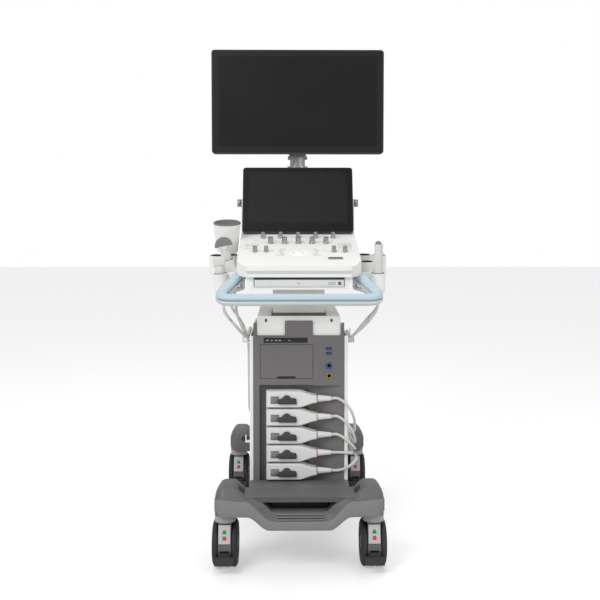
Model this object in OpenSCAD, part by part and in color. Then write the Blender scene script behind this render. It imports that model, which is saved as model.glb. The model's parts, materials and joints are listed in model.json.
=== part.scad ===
// Cart-based ultrasound machine: wheeled base, trunk with five probe ports, lifting and
// swivelling control console, tilting touch panel and a display on a folding arm.
// Millimetres. X is to the right, -Y is the operator's side, +Z is up.
// Origin: on the floor, at the middle of the footprint.

/* [Base] */
// Width of the base covers
base_w = 440; // [400:5:480]
// Distance between the swivel axes of the left and right casters
caster_track = 390; // [350:5:420]
// Distance between the swivel axes of the front and rear casters
caster_base = 665; // [600:5:720]
// Diameter of the caster wheels
wheel_d = 125; // [100:1:150]
// Width of one wheel of a twin caster
wheel_w = 17; // [14:0.5:22]
// Distance of the wheel axle behind the swivel axis
caster_trail = 20; // [10:1:25]
// Height of the base covers above the swivel collars, at the corners
base_h = 75; // [60:1:95]
// Diameter of the swivel stems
stem_d = 20; // [16:1:26]

/* [Trunk] */
// Width of the trunk over its side panels
trunk_w = 270; // [250:1:330]
// Depth of the trunk from front panel to rear panel
trunk_d = 430; // [380:5:480]
// Height of the trunk from its floor to its top plate
trunk_h = 420; // [400:5:500]
// Distance of the front panel in front of the origin
trunk_front = 230; // [210:5:240]
// Thickness of the moulded panels
panel_t = 4; // [3:0.5:5]
// Depth of the probe port bay behind the front panel
bay_depth = 20; // [16:1:24]
// Distance between neighbouring probe ports
port_pitch = 50; // [48:1:54]

/* [Column] */
// Width of the sliding mast
mast_w = 143; // [120:1:160]
// Depth of the sliding mast
mast_d = 140; // [110:1:150]
// Travel of the console lift
lift_travel = 200; // [100:10:220]
// Height of the mast between the guide collar and the console
neck_h = 69; // [50:1:90]

/* [Console] */
// Width of the control console
console_w = 335; // [300:1:360]
// Distance of the console front in front of the origin
console_front = 330; // [310:1:340]
// Distance of the console back behind the origin
console_back = 150; // [130:1:170]
// Height of the flat front edge of the console
console_lip = 29; // [20:1:40]
// Slope of the control deck in degrees
deck_slope = 14.4; // [8:0.1:18]
// Width of the keyboard drawer
drawer_w = 240; // [200:1:250]
// Travel of the keyboard drawer
drawer_travel = 160; // [100:5:180]
// Diameter of the trackball
ball_d = 38; // [30:1:44]
// Width of the handle over its corners
handle_w = 436; // [410:1:450]
// Diameter of the handle grip
grip_d = 32; // [26:1:36]

/* [Touch panel] */
// Width of the touch panel
touch_w = 330; // [300:1:340]
// Height of the touch panel
touch_h = 207; // [190:1:220]
// Thickness of the touch panel
touch_t = 24; // [18:1:28]
// Backward tilt of the touch panel at rest, in degrees
touch_tilt = 20; // [10:1:25]

/* [Display] */
// Width of the display
monitor_w = 517; // [460:1:560]
// Height of the display
monitor_h = 310; // [280:1:340]
// Thickness of the display at its rim
monitor_t = 26; // [20:1:30]
// Height of the lower edge of the display above the floor
monitor_z = 1114; // [1100:1:1150]

/* [Probes] */
// Diameter of the probe cables
cable_d = 8; // [6:0.5:9]
// Inner diameter of the gel bottle cup
gel_d = 67; // [55:1:72]
// Inner diameter of the probe cups
cup_d = 36; // [32:1:38]

/* [Hidden] */
$fn = 48;
gap = 0.3;              // gap between parts that move past each other
run = 0.05;             // radial clearance of a shaft in its bearing
eps = 0.5;              // overshoot of cuts
floor_gap = 0.5;        // gap between a swivelling part and the part above it

// base
wheel_r = wheel_d / 2;
fork_w = 2 * wheel_w;                        // width of the body between the twin wheels
caster_top = wheel_d + 25;                   // upper face of the swivel collar
base_bottom = caster_top + floor_gap;
base_top = base_bottom + base_h;             // top of the corner pads
bar_top = base_top - 24;                     // top of the cross bars
bar_bottom = bar_top - 17;
step_bottom = base_bottom - 35;
swivel_front = -(caster_base + 25) / 2;      // y of the front swivel axes
swivel_rear = swivel_front + caster_base;
base_front = swivel_front - 50;
base_rear = swivel_rear + 50;
beam_d = 100;                                // depth of the cross bars of the base
spine_w = 144;
axle_r = 6;

// trunk
trunk_z = bar_top - 22;                      // underside of the trunk
trunk_top = trunk_z + trunk_h;               // underside of the top cover
front_y = -trunk_front;
rear_y = front_y + trunk_d;
front_w = trunk_w - 22;                      // width of the front panel
door_x0 = -106;
door_x1 = 39;
door_z0 = trunk_top - 118;
door_z1 = trunk_top - 23;
bay_z0 = trunk_z + 15;
bay_top = bay_z0 + 5 * port_pitch + 20;
bay_x0 = -108;
bay_x1 = 40;
bay_y = front_y + bay_depth;                 // face that the ports are fixed to
port_x0 = -89;
port_z = [for (i = [0:4]) bay_z0 + 33 + (4 - i) * port_pitch];
port_t = 4;
plug_t = 36;                                 // depth of a probe connector
plug_y = bay_y - port_t;                     // back of the connectors
lever_r = 3;

// column
guide_t = 3.5;
mast_front = bay_y + panel_t + 7 + guide_t;  // front face of the mast
mast_y = mast_front + mast_d / 2;
guide_w = mast_w + 2 * (gap + guide_t);
guide_d = mast_d + 2 * (gap + guide_t);
guide_top = trunk_top + 60;
guide_bottom = guide_top - lift_travel - 68;
mast_bottom = guide_bottom + 5;
mast_top = guide_top + neck_h;
pivot_r = 20;

// console
console_z = mast_top + 5;                    // underside of the keyboard housing
tub_z = console_z + 33;                      // underside of the deck body
deck_t = 4;
deck_y = -console_front + 20;                // where the slope starts
deck_z = tub_z + console_lip;
deck_end = -8;                               // where the slope ends
deck_rise = (deck_end - deck_y) * tan(deck_slope);
deck_top = deck_z + deck_rise;               // upper end of the slope
shelf_z = deck_top - 16;                     // lower flat top behind the deck
tub_t = 3;
drawer_z0 = console_z + 6;
drawer_z1 = tub_z;
drawer_d = 190;
grip_r = grip_d / 2;
grip_y = -402.5 + grip_r;
grip_z = console_z - 20;
cable_top = console_z - 42;                  // plane where the fixed cables end

module block(lo, hi) translate(lo) cube(hi - lo);
// cylinder along X, from x0 to x1
module rod_x(r, x0, x1, y = 0, z = 0) translate([x0, y, z]) rotate([0, 90, 0]) cylinder(r = r,
    h = x1 - x0);
// cylinder along Y, from y0 to y1
module rod_y(r, y0, y1, x = 0, z = 0) translate([x, y0, z]) rotate([-90, 0, 0]) cylinder(r = r,
    h = y1 - y0);
module both_sides() {
    children();
    mirror([1, 0, 0]) children();
}
// plate in the XY plane with round corners, centred
module round_plate(w, d, h, r) {
    linear_extrude(h) {
        square([w - 2 * r, d], center = true);
        square([w, d - 2 * r], center = true);
        for (x = [-1, 1], y = [-1, 1]) translate([x * (w / 2 - r), y * (d / 2 - r)]) circle(r);
    }
}
// plate standing in the XZ plane, from y0 towards +Y, with round corners
module round_panel(x0, x1, z0, z1, y0, t, r) {
    translate([(x0 + x1) / 2, y0 + t, (z0 + z1) / 2]) rotate([90, 0, 0]) round_plate(x1 - x0,
        z1 - z0, t, r);
}

// ---------------------------------------------------------------- base
module at_casters() {
    for (x = [-1, 1], y = [swivel_front, swivel_rear]) translate([x * caster_track / 2, y, 0]) children();
}

module frame_solid(grow) {
    for (y = [swivel_front, swivel_rear])
        block([-caster_track / 2 - 24 - grow, y - 30 - grow, bar_bottom - grow],
              [caster_track / 2 + 24 + grow, y + 30 + grow, bar_top - 6]);
    at_casters() translate([0, 0, base_bottom + 1 - grow]) cylinder(r = stem_d / 2 + 14 + grow, h = 40);
    // spine under the trunk, and its ends that rise into the cross beams
    block([-spine_w / 2 - grow, swivel_front + 10 - grow, trunk_z - 25],
        [spine_w / 2 + grow, swivel_rear - 10 + grow, trunk_z]);
    for (y = [swivel_front + 10, swivel_rear - 29])
        block([-spine_w / 2 - grow, y - grow, trunk_z - 1],
            [spine_w / 2 + grow, y + 19 + grow, bar_bottom + 1]);
}

module base_frame() color("#555555") difference() {
    frame_solid(0);
    at_casters() translate([0, 0, base_bottom - eps]) cylinder(r = stem_d / 2 + run, h = 34);
    block([-spine_w / 2 + 4, swivel_front + 14, trunk_z - 21],
        [spine_w / 2 - 4, swivel_rear - 14, trunk_z - 4]);
}

// half outline of a base cover in XZ, with the dip to the foot step when step is true
function cover_half(low) = [
    [0, low], [82, low], [108, low + 22], [133, base_bottom], [base_w / 2 - 10, base_bottom],
    [base_w / 2, base_bottom + 12], [base_w / 2, base_top - 24], [base_w / 2 - 16, base_top - 3],
    [base_w / 2 - 50, base_top], [trunk_w / 2 + 4, bar_top], [0, bar_top]];

module cover_outline(low) both_sides() polygon(cover_half(low));

module cover_bar(y0, y1, low) translate([0, y1, 0]) rotate([90, 0,
    0]) linear_extrude(y1 - y0) cover_outline(low);

module base_cover() color("#7f7d7e") difference() {
    union() {
        cover_bar(base_front, base_front + beam_d, step_bottom);
        cover_bar(base_rear - beam_d - 20, base_rear, base_bottom);
        // aprons between the bars and the trunk
        block([-trunk_w / 2, base_front + beam_d - 1, trunk_z], [trunk_w / 2, front_y - gap, bar_top]);
        block([-trunk_w / 2, rear_y + gap, trunk_z], [trunk_w / 2, base_rear - beam_d - 19, bar_top]);
    }
    frame_solid(gap);
    at_casters() translate([0, 0, base_bottom - eps]) cylinder(r = stem_d / 2 + 14 + gap, h = 10);
    block([-spine_w / 2 - gap, swivel_front + 9, base_bottom - eps],
        [spine_w / 2 + gap, base_rear - 60, trunk_z]);
    // window above the foot step
    translate([0, base_front + beam_d + eps, 0]) rotate([90, 0, 0]) linear_extrude(beam_d + 2 * eps)
        polygon([[-100, bar_bottom - gap], [100, bar_bottom - gap], [72, step_bottom + 46],
            [-72, step_bottom + 46]]);
    // anti-slip grooves of the foot step
    for (i = [0:2]) block([-64, base_front - eps, step_bottom + 20 + 7 * i],
        [64, base_front + 2, step_bottom + 22 + 7 * i]);
}

// ---------------------------------------------------------------- casters
CASTERS = [[-1, swivel_front], [1, swivel_front], [-1, swivel_rear], [1, swivel_rear]];
module at_caster(i) translate([CASTERS[i][0] * caster_track / 2, CASTERS[i][1], 0]) children();

pedal_y = -24;          // pivot of the brake pedal, from the swivel axis
pedal_r = 3;
module fork(i) color("#5c5c5e") at_caster(i) {
    translate([0, 0, wheel_d + 2]) cylinder(r = 27, h = caster_top - wheel_d - 2);
    translate([0, 0, wheel_d - 5]) cylinder(r = stem_d / 2, h = caster_top - wheel_d + 36);
    difference() {
        union() {
            intersection() {
                rod_x(wheel_r - 4, -fork_w / 2, fork_w / 2, caster_trail, wheel_r);
                block([-fork_w / 2, -wheel_r, wheel_r - 38], [fork_w / 2, wheel_r + 10, wheel_d]);
            }
            block([-fork_w / 2, -22, wheel_r + 20], [fork_w / 2, 28, wheel_d + 2.5]);
        }
        block([-fork_w / 2 + 5, -wheel_r, 0], [fork_w / 2 - 5, -12, wheel_r - 4]);
        rod_x(pedal_r + run, -fork_w, fork_w, pedal_y, wheel_r - 12.5);
    }
    rod_x(axle_r, -fork_w / 2 - wheel_w - 1, fork_w / 2 + wheel_w + 1, caster_trail, wheel_r);
}

module wheels(i) color("#2b2b2d") at_caster(i) both_sides() translate([fork_w / 2 + gap,
    caster_trail, wheel_r])
    rotate([0, 90, 0]) difference() {
        union() {
            cylinder(r = wheel_r, h = wheel_w - 3);
            cylinder(r = wheel_r - 4, h = wheel_w);
        }
        translate([0, 0, -eps]) cylinder(r = axle_r + run, h = wheel_w + 2);
        translate([0, 0, wheel_w - 3]) difference() {
            cylinder(r = wheel_r - 12, h = 5);
            cylinder(r = 14, h = 5);
        }
    }

module pedal(i) color("#333335") at_caster(i) {
    plate_y = caster_trail - wheel_r - 15;
    rod_x(pedal_r, -fork_w / 2, fork_w / 2, pedal_y, wheel_r - 12.5);
    block([-25, plate_y, wheel_r - 36], [25, plate_y + 9, wheel_r - 15]);
    block([-fork_w / 2 + 5 + gap, plate_y + 8, wheel_r - 24],
        [fork_w / 2 - 5 - gap, pedal_y + 6, wheel_r - 8.5]);
}

// ---------------------------------------------------------------- trunk
module trunk_frame() color("#4e4e50") difference() {
    union() {
        block([-trunk_w / 2 + panel_t + 3, front_y + 10, trunk_z],
            [trunk_w / 2 - panel_t - 3, rear_y - panel_t - 3, trunk_z + 6]);
        block([-trunk_w / 2 + panel_t + 3, mast_front - guide_t - gap, trunk_top - 10],
              [trunk_w / 2 - panel_t - 3, rear_y - panel_t - 3, trunk_top - 4]);
        for (x = [-1, 1], y = [mast_front, rear_y - 20])
            translate([x * (trunk_w / 2 - panel_t - 9), y, trunk_z]) block([-6, -6, 0],
                [6, 6, trunk_h - 5]);
        translate([0, mast_y, guide_bottom]) linear_extrude(guide_top - guide_bottom)
            square([guide_w, guide_d], center = true);
    }
    translate([0, mast_y, guide_bottom - eps]) linear_extrude(guide_top - guide_bottom + 2 * eps)
        square([mast_w + 2 * gap, mast_d + 2 * gap], center = true);
}

module front_panel() color("#6e6c6d") difference() {
    union() {
        block([-front_w / 2, front_y, trunk_z + 1], [front_w / 2, front_y + panel_t, trunk_top]);
        // bay box and door pocket behind the face
        block([bay_x0 - panel_t, front_y, bay_z0 - panel_t],
            [front_w / 2, bay_y + panel_t, bay_top + panel_t]);
        block([door_x0 - panel_t, front_y, door_z0 - panel_t],
            [door_x1 + panel_t, bay_y, door_z1 + panel_t]);
        // ears beside the top cover, and the tongue in front of it
        for (s = [-1, 1]) block([s > 0 ? front_w / 2 - 8 : -front_w / 2, front_y, trunk_top],
            [s > 0 ? front_w / 2 : -front_w / 2 + 8, front_y + panel_t, trunk_top + 36]);
        block([-38, front_y, trunk_top], [38, front_y + panel_t, trunk_top + 42]);
    }
    block([bay_x0, front_y - eps, bay_z0], [bay_x1, bay_y, bay_top]);
    // sloping part of the bay, where the cables leave
    translate([0, 0, bay_z0 + 2]) linear_extrude(bay_top - bay_z0 - 4)
        polygon([[bay_x1 - 1, front_y - eps], [front_w / 2 - 4, front_y - eps],
            [front_w / 2 - 4, front_y], [bay_x1 - 1, bay_y]]);
    block([door_x0, front_y - eps, door_z0], [door_x1, bay_y - panel_t, door_z1]);
    rod_x(1.5 + run, door_x0 - 3, door_x1 + 3, front_y + 3.5, door_z1 - 3.5);
    block([-96, front_y - eps, trunk_top - 19], [24, front_y + 1.5, trunk_top - 5]);
    for (z = USB_Z) block([74, front_y - eps, z - 4], [90, front_y + panel_t + eps, z + 4]);
    for (z = SOCKET_Z) rod_y(9, front_y - eps, front_y + panel_t + eps, 83, z);
}
USB_Z = [trunk_top - 35, trunk_top - 48];
SOCKET_Z = [trunk_top - 82, trunk_top - 110];

module front_ports() {
    block([-96 + gap, front_y + 0.2, trunk_top - 19 + gap],
        [24 - gap, front_y + 1.5, trunk_top - 5 - gap]);
    for (z = USB_Z) difference() {
        block([74 + gap, front_y, z - 4 + gap], [90 - gap, front_y + 14, z + 4 - gap]);
        block([75.5, front_y - eps, z - 2.5], [88.5, front_y + 10, z + 2.5]);
    }
    for (z = SOCKET_Z) difference() {
        rod_y(9 - gap, front_y - 1, front_y + 14, 83, z);
        rod_y(6, front_y - 2, front_y + 9, 83, z);
    }
}

module printer_door() color("#6e6c6d") {
    difference() {
        block([door_x0 + 1, front_y + 0.5, door_z0 + 1], [door_x1 - 1, front_y + 3.5, door_z1 - 3.5]);
        block([-59, front_y, door_z0], [-9, front_y + 5, door_z0 + 6]);
    }
    rod_x(3, door_x0 + 1, door_x1 - 1, front_y + 3.5, door_z1 - 3.5);
    rod_x(1.5, door_x0 - 2.5, door_x1 + 2.5, front_y + 3.5, door_z1 - 3.5);
}

module side_panel() {
    difference() {
        block([trunk_w / 2 - panel_t, front_y + 2, trunk_z + 0.5], [trunk_w / 2, rear_y, trunk_top]);
        for (i = [0:11]) block([trunk_w / 2 - 9, 60 + 10 * i, trunk_z + 30],
            [trunk_w / 2 + 1, 64 + 10 * i, trunk_z + 80]);
    }
    // front return that meets the front panel
    block([front_w / 2 + gap, front_y + 2, trunk_z + 0.5], [trunk_w / 2 - 1, front_y + 6, trunk_top]);
    for (y = [HOOK_Y, HOOK_Y + 160]) hook(y, HOOK_Z, 24);
    hook(20, CLEAT_Z, 24);
}
HOOK_Y = -130;
HOOK_Z = trunk_top - 28;      // cable seat of the upper hooks
CLEAT_Z = trunk_z + 68;       // cable seat of the lower hooks
TRAY_Z = trunk_z + 100;       // cable seat of the rear trays
// J-shaped cable hook on the side of the trunk
module hook(y, z, w) {
    block([trunk_w / 2 - 1, y - 9, z - 4], [trunk_w / 2 + w, y + 9, z]);
    block([trunk_w / 2 + w - 3, y - 9, z - 4], [trunk_w / 2 + w, y + 9, z + 16]);
}
module side_panels() color("#f0f0ee") {
    both_sides() side_panel();
}

module rear_panel() color("#8a888a") difference() {
    union() {
        block([-trunk_w / 2 + panel_t + gap, rear_y - panel_t, trunk_z + 0.5],
            [trunk_w / 2 - panel_t - gap, rear_y, trunk_top]);
        // cable trays across the back
        for (x = [-70, 70]) {
            block([x - 9, rear_y - 1, TRAY_Z - 4], [x + 9, rear_y + 24, TRAY_Z]);
            block([x - 9, rear_y + 21, TRAY_Z - 4], [x + 9, rear_y + 24, TRAY_Z + 26]);
        }
    }
    for (i = [0:9]) block([-90, rear_y - 9, trunk_z + 200 + 12 * i],
        [90, rear_y + eps, trunk_z + 205 + 12 * i]);
    block([-84, rear_y - 9, trunk_z + 34], [-52, rear_y + eps, trunk_z + 58]);
}

module power_inlet() difference() {
    block([-84 + gap, rear_y - 24, trunk_z + 34 + gap], [-52 - gap, rear_y + 1, trunk_z + 58 - gap]);
    block([-80, rear_y - 16, trunk_z + 38], [-56, rear_y + 2, trunk_z + 54]);
}

// cover over the trunk, round the guide tube of the column
module top_cover() color("#f2f2f1") difference() {
    translate([front_w / 2 - 9, 0, 0]) rotate([90, 0, -90]) linear_extrude(front_w - 18)
        polygon([[-rear_y, trunk_top + gap], [-rear_y, trunk_top + 34],
            [-rear_y + 30, trunk_top + 52], [-mast_front + 12, trunk_top + 52],
                 [-front_y - panel_t - 1, trunk_top + 30], [-front_y - panel_t - 1, trunk_top + gap]]);
    translate([0, mast_y, trunk_top - 1]) linear_extrude(80) square([guide_w + 2 * gap,
        guide_d + 2 * gap], center = true);
    difference() {
        block([-front_w / 2 + 12, mast_front + 4, trunk_top - 1],
            [front_w / 2 - 12, rear_y - 4, trunk_top + 30]);
        translate([0, mast_y, trunk_top - 2]) linear_extrude(80) square([guide_w + 8, guide_d + 8],
            center = true);
    }
}

// ---------------------------------------------------------------- probe ports and connectors
module probe_ports() {
    for (z = port_z) difference() {
        block([port_x0 + 3, plug_y, z - 20], [bay_x1 - 12, bay_y, z + 20]);
        block([port_x0 + 12, plug_y - eps, z - 12], [bay_x1 - 50, bay_y - 1.5, z + 12]);
    }
}

// black inserts: status strip, data ports, probe ports and the mains inlet
module ports_and_sockets() color("#121214") {
    front_ports();
    probe_ports();
    power_inlet();
}

// outline of one connector in XZ, from the housing to the cable boot
PLUG = [[0, -22], [92, -22], [104, -17], [118, -11.5], [138, -11.5], [138, 11.5], [118, 11.5],
    [104, 17], [92, 23], [0, 23]];
LEVER_X = port_x0 + 56;
module probe_connectors() color("#dcdcdb") for (z = port_z) translate([0, 0, z]) {
    difference() {
        translate([port_x0, plug_y, 0]) rotate([90, 0, 0]) linear_extrude(plug_t) polygon(PLUG);
        rod_y(lever_r + run, plug_y - plug_t - eps, plug_y - plug_t + 12, LEVER_X, 0);
    }
    translate([port_x0 + 11, 0, 0]) block([0, plug_y - plug_t - 1, -11], [22, plug_y - plug_t + 1, 9]);
    // strain relief that tapers to the cable
    translate([port_x0 + 137, plug_y - plug_t / 2, 0]) rotate([0, 90, 0]) cylinder(r1 = 11,
        r2 = cable_d / 2 + 1.5, h = boot_l);
}
boot_l = 42;
exit_x = port_x0 + 137 + boot_l;
exit_y = plug_y - plug_t / 2;

module lock_lever(i) color("#3a3a3c") translate([LEVER_X, 0, port_z[i]]) {
    rod_y(lever_r, plug_y - plug_t - 6, plug_y - plug_t + 10);
    rod_y(10, plug_y - plug_t - 7, plug_y - plug_t - gap);
    block([-19, plug_y - plug_t - 7, -11], [23, plug_y - plug_t - gap, 3]);
}

// ---------------------------------------------------------------- column
module column_mast() color("#d5d3cc") {
    difference() {
        translate([0, mast_y, mast_bottom]) linear_extrude(mast_top - mast_bottom) square([mast_w,
            mast_d], center = true);
        translate([0, mast_y, mast_bottom - eps]) linear_extrude(mast_top - mast_bottom - 10)
            square([mast_w - 8, mast_d - 8], center = true);
        translate([0, mast_y, mast_top - 40]) cylinder(r = pivot_r + run, h = 50);
    }
    translate([0, mast_y, mast_top]) difference() {
        cylinder(r = 60, h = console_z - mast_top - gap);
        translate([0, 0, -1]) cylinder(r = pivot_r + run, h = 20);
    }
}

// ---------------------------------------------------------------- console
CORNER = [30, 65];     // chamfer of the front corners, across and along
module console_plan(inset) linear_extrude(400) polygon([
    [-console_w / 2 + inset, console_back - inset], [-console_w / 2 + inset, -console_front + CORNER[1]],
    [-console_w / 2 + CORNER[0] + inset / 2, -console_front + inset],
        [console_w / 2 - CORNER[0] - inset / 2, -console_front + inset],
    [console_w / 2 - inset, -console_front + CORNER[1]], [console_w / 2 - inset, console_back - inset]]);

// side profile in YZ, extruded across the console
module profile(points) translate([-200, 0, 0]) rotate([90, 0, 90]) linear_extrude(400) polygon(points);
function tub_profile(drop, floor_z) = [
    [-console_front, floor_z], [console_back, floor_z], [console_back, shelf_z - 12],
        [console_back - 12, shelf_z],
    [deck_end, shelf_z], [deck_end, deck_top - drop], [deck_y, deck_z - drop],
        [-console_front, deck_z - drop]];

module console_tub() color("#ededeb") {
    difference() {
        intersection() {
            profile(tub_profile(deck_t, tub_z));
            translate([0, 0, tub_z - 1]) console_plan(0);
        }
        intersection() {
            profile([[-console_front, tub_z + tub_t], [console_back, tub_z + tub_t],
                [console_back, shelf_z - 16], [deck_end - tub_t, shelf_z - 16],
                     [deck_end - tub_t, deck_top + 9], [deck_y, deck_z + 9],
                         [-console_front, deck_z + 9]]);
            translate([0, 0, tub_z - 1]) console_plan(tub_t);
        }
    }
    // housing of the keyboard drawer
    difference() {
        translate([0, console_back - 60, 0]) rotate([90, 0,
            0]) linear_extrude(console_back - 60 + console_front - 10)
            polygon([[-drawer_w / 2 - 6, console_z], [drawer_w / 2 + 6, console_z],
                [drawer_w / 2 + 22, tub_z + 0.5], [-drawer_w / 2 - 22, tub_z + 0.5]]);
        block([-drawer_w / 2 - gap, -console_front, drawer_z0 - gap],
            [drawer_w / 2 + gap, -console_front + 12 + drawer_d, drawer_z1]);
    }
    translate([0, mast_y, mast_top - 34]) cylinder(r = pivot_r, h = console_z - mast_top + 36);
    // brackets that carry the touch panel
    for (s = [-1, 1]) difference() {
        block([s > 0 ? touch_w / 2 + gap : -touch_w / 2 - gap - 4, TP_Y - 12, shelf_z - 60],
              [s > 0 ? touch_w / 2 + gap + 4 : -touch_w / 2 - gap, TP_Y + 14, TP_Z + 12]);
        rod_x(5 + run, -250, 250, TP_Y, TP_Z);
    }
    // post of the display arm
    translate([0, ARM_A[1], shelf_z - 17]) cylinder(r = 34, h = 18 + gap);
    translate([0, ARM_A[1], shelf_z - 10]) cylinder(r = 12, h = 44);
}
// pivot of the touch panel, in Y and Z
TP_Z = deck_top + touch_h / 2 - 10.5;
TP_Y = deck_end + 56;

module on_deck() translate([0, deck_y, deck_z]) rotate([deck_slope, 0, 0]) children();
function on_slope(y) = (y - deck_y) / cos(deck_slope);       // distance up the deck of a point at y

// rotary knobs: x, y, radius, height
MODE_KNOBS = [for (i = [-2:2]) [i * 39.5, -102, 8.5, 18]];
MENU_KNOBS = concat([for (i = [-2:2]) [i * 51, -47, 7, 16]],
    [for (x = [-121, -90, 98, 129]) [x, -183, 7, 14]]);
shaft_r = 3;
press = 1.5; // travel of the menu knobs
BALL_Y = -195;
BALL_DEPTH = 12;       // centre of the trackball below the deck
BUTTON = [99, -248];
KEYS = concat([for (s = [-1, 1], k = [0:3]) [s * (46 + 5 * k * (k < 2 ? 1 : 0)) , -165 - 17 * k]],
              [for (c = [0:2], r = [0:2]) [118 + 14 * c, -112 - 14 * r]],
              [for (c = [0:2], r = [0:1]) [-146 + 14 * c, -118 - 14 * r]]);

module console_deck() color("#f4f4f2") difference() {
    intersection() {
        difference() {
            profile(tub_profile(0, tub_z));
            profile([[-console_front - 1, tub_z - 1], [deck_end + 1, tub_z - 1],
                [deck_end + 1, deck_top - deck_t],
                     [deck_end, deck_top - deck_t], [deck_y, deck_z - deck_t],
                         [-console_front - 1, deck_z - deck_t]]);
        }
        translate([0, 0, tub_z - 1]) console_plan(0);
        block([-200, -console_front, tub_z], [200, deck_end, deck_top + 1]);
    }
    on_deck() {
        for (k = concat(MODE_KNOBS, MENU_KNOBS)) translate([k[0], on_slope(k[1]),
            -10]) cylinder(r = shaft_r + run, h = 20);
        translate([0, on_slope(BALL_Y), -1]) cylinder(r = ball_d / 2 - 1.8, h = 30, center = true);
        for (k = KEYS) translate([k[0], on_slope(k[1]), 0]) cube([10.6, 10.6, 20], center = true);
        translate([BUTTON[0], on_slope(BUTTON[1]), -10]) linear_extrude(20) button_outline(gap);
    }
}
module button_outline(grow) {
    square([28, 13 + 2 * grow], center = true);
    for (s = [-1, 1]) translate([s * 14, 0]) circle(6.5 + grow);
}

module knob(k, lift) translate([k[0], on_slope(k[1]), 0]) {
    translate([0, 0, -8]) cylinder(r = shaft_r, h = 9 + lift);
    translate([0, 0, lift]) cylinder(r = k[2], h = k[3] * 0.35);
    translate([0, 0, lift]) cylinder(r = k[2] - 0.8, h = k[3]);
}
module mode_knob(i) color("#a5a5a3") on_deck() knob(MODE_KNOBS[i], gap);
module menu_knobs() color("#a5a5a3") on_deck() for (k = MENU_KNOBS) knob(k, press + 0.5);
module trackball() color("#f4f4ee") on_deck() translate([0, on_slope(BALL_Y),
    -BALL_DEPTH]) sphere(ball_d / 2 - 0.6);
module trackball_cage() color("#b8b8b6") on_deck() translate([0, on_slope(BALL_Y),
    -BALL_DEPTH]) difference() {
    translate([0, 0, -ball_d / 2 - 5]) cylinder(r = ball_d / 2 + 4,
        h = ball_d / 2 + 5 + BALL_DEPTH - deck_t * cos(deck_slope));
    sphere(ball_d / 2 - 0.3);
    cylinder(r = ball_d / 2 - 0.3, h = 30);
}
module deck_keys() color("#dfe0e0") on_deck() for (k = KEYS) translate([k[0], on_slope(k[1]), 0]) {
    translate([0, 0, -1.5]) cube([10, 10, 8], center = true);
    translate([0, 0, -5]) cube([13, 13, 1.4], center = true);
}
module freeze_button() color("#a9aaaa") on_deck() translate([BUTTON[0], on_slope(BUTTON[1]), 0]) {
    translate([0, 0, -5]) linear_extrude(8) button_outline(0);
    translate([0, 0, -6]) linear_extrude(1.6) button_outline(2);
}

module keyboard_drawer() color("#f0f0ef") {
    difference() {
        block([-drawer_w / 2, -console_front + 9, drawer_z0],
            [drawer_w / 2, -console_front + 9 + drawer_d, drawer_z1 - gap - 2]);
        block([-drawer_w / 2 + 6, -console_front + 16, drawer_z1 - 14],
            [drawer_w / 2 - 6, -console_front + drawer_d, drawer_z1]);
    }
    // keyboard keys in rows
    for (r = [0:4], c = [0:12]) block([-104 + 16 * c, -console_front + 34 + 17 * r, drawer_z1 - 15],
        [-90.5 + 16 * c, -console_front + 48.5 + 17 * r, drawer_z1 - 10]);
}

// ---------------------------------------------------------------- handle
module bar(a, b, r) hull() {
    translate(a) sphere(r, $fn = 20);
    translate(b) sphere(r, $fn = 20);
}
module handle() color("#b9cdd6") {
    hx = handle_w / 2 - grip_r;
    difference() {
        union() {
            bar([-hx + 18, grip_y, grip_z], [hx - 18, grip_y, grip_z], grip_r);
            for (s = [-1, 1]) {
                bar([s * (hx - 18), grip_y, grip_z], [s * hx, grip_y + 32, grip_z + 12], grip_r);
                bar([s * hx, grip_y + 32, grip_z + 12],
                    [s * (console_w / 2 - 10), -console_front + 90, tub_z + 2], grip_r - 2);
            }
        }
        // seats against the side of the console
        translate([0, 0, tub_z]) linear_extrude(60) polygon([
            [-console_w / 2, 0], [-console_w / 2, -console_front + CORNER[1]],
                [-console_w / 2 + CORNER[0], -console_front],
            [console_w / 2 - CORNER[0], -console_front],
                [console_w / 2, -console_front + CORNER[1]], [console_w / 2, 0]]);
    }
    // rim below the grip, and the stays up to the console
    block([-hx + 12, grip_y - 12, cable_top + 4], [hx - 12, grip_y + 12, grip_z]);
    for (s = [-1, 1]) block([s * 153 - 5, -console_front + 66, tub_z - 28],
        [s * 153 + 5, -console_front + 118, tub_z]);
}

// ---------------------------------------------------------------- probe and gel holders
// cups: x, y, z of the rim, tilt about Y, tilt about X
CUPS = [[-200, -165, tub_z + 38, -12, 8], [-214, -222, tub_z + 5, -6, 8], [-205, 26, tub_z + 62, 0, 0],
        [216, -222, tub_z + 5, 0, 8], [226, -146, tub_z + 50, 0, 8],
        [-230, -138, tub_z + 50, 0, 8], [-190, -112, tub_z + 50, 0, 8],
            [190, -96, tub_z + 50, 0, 8], [190, -170, tub_z + 34, 0, 8]];
cup_h = 52;
GEL = [-206, -48, tub_z + 58];
gel_tilt = 12;
gel_h = 84;
module at_cup(i) translate([CUPS[i][0], CUPS[i][1], CUPS[i][2]]) rotate([CUPS[i][4], CUPS[i][3],
    0]) children();
module cup_wall(i) at_cup(i) translate([0, 0, -cup_h]) cylinder(r = cup_d / 2 + 3, h = cup_h);
module cup_hole(i) at_cup(i) {
    translate([0, 0, -cup_h + 6]) cylinder(r = cup_d / 2, h = cup_h);
    translate([0, 0, -cup_h - 20]) cylinder(r = 10, h = cup_h + 20);
}
module at_gel() translate(GEL) rotate([gel_tilt, 0, 0]) children();
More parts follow.
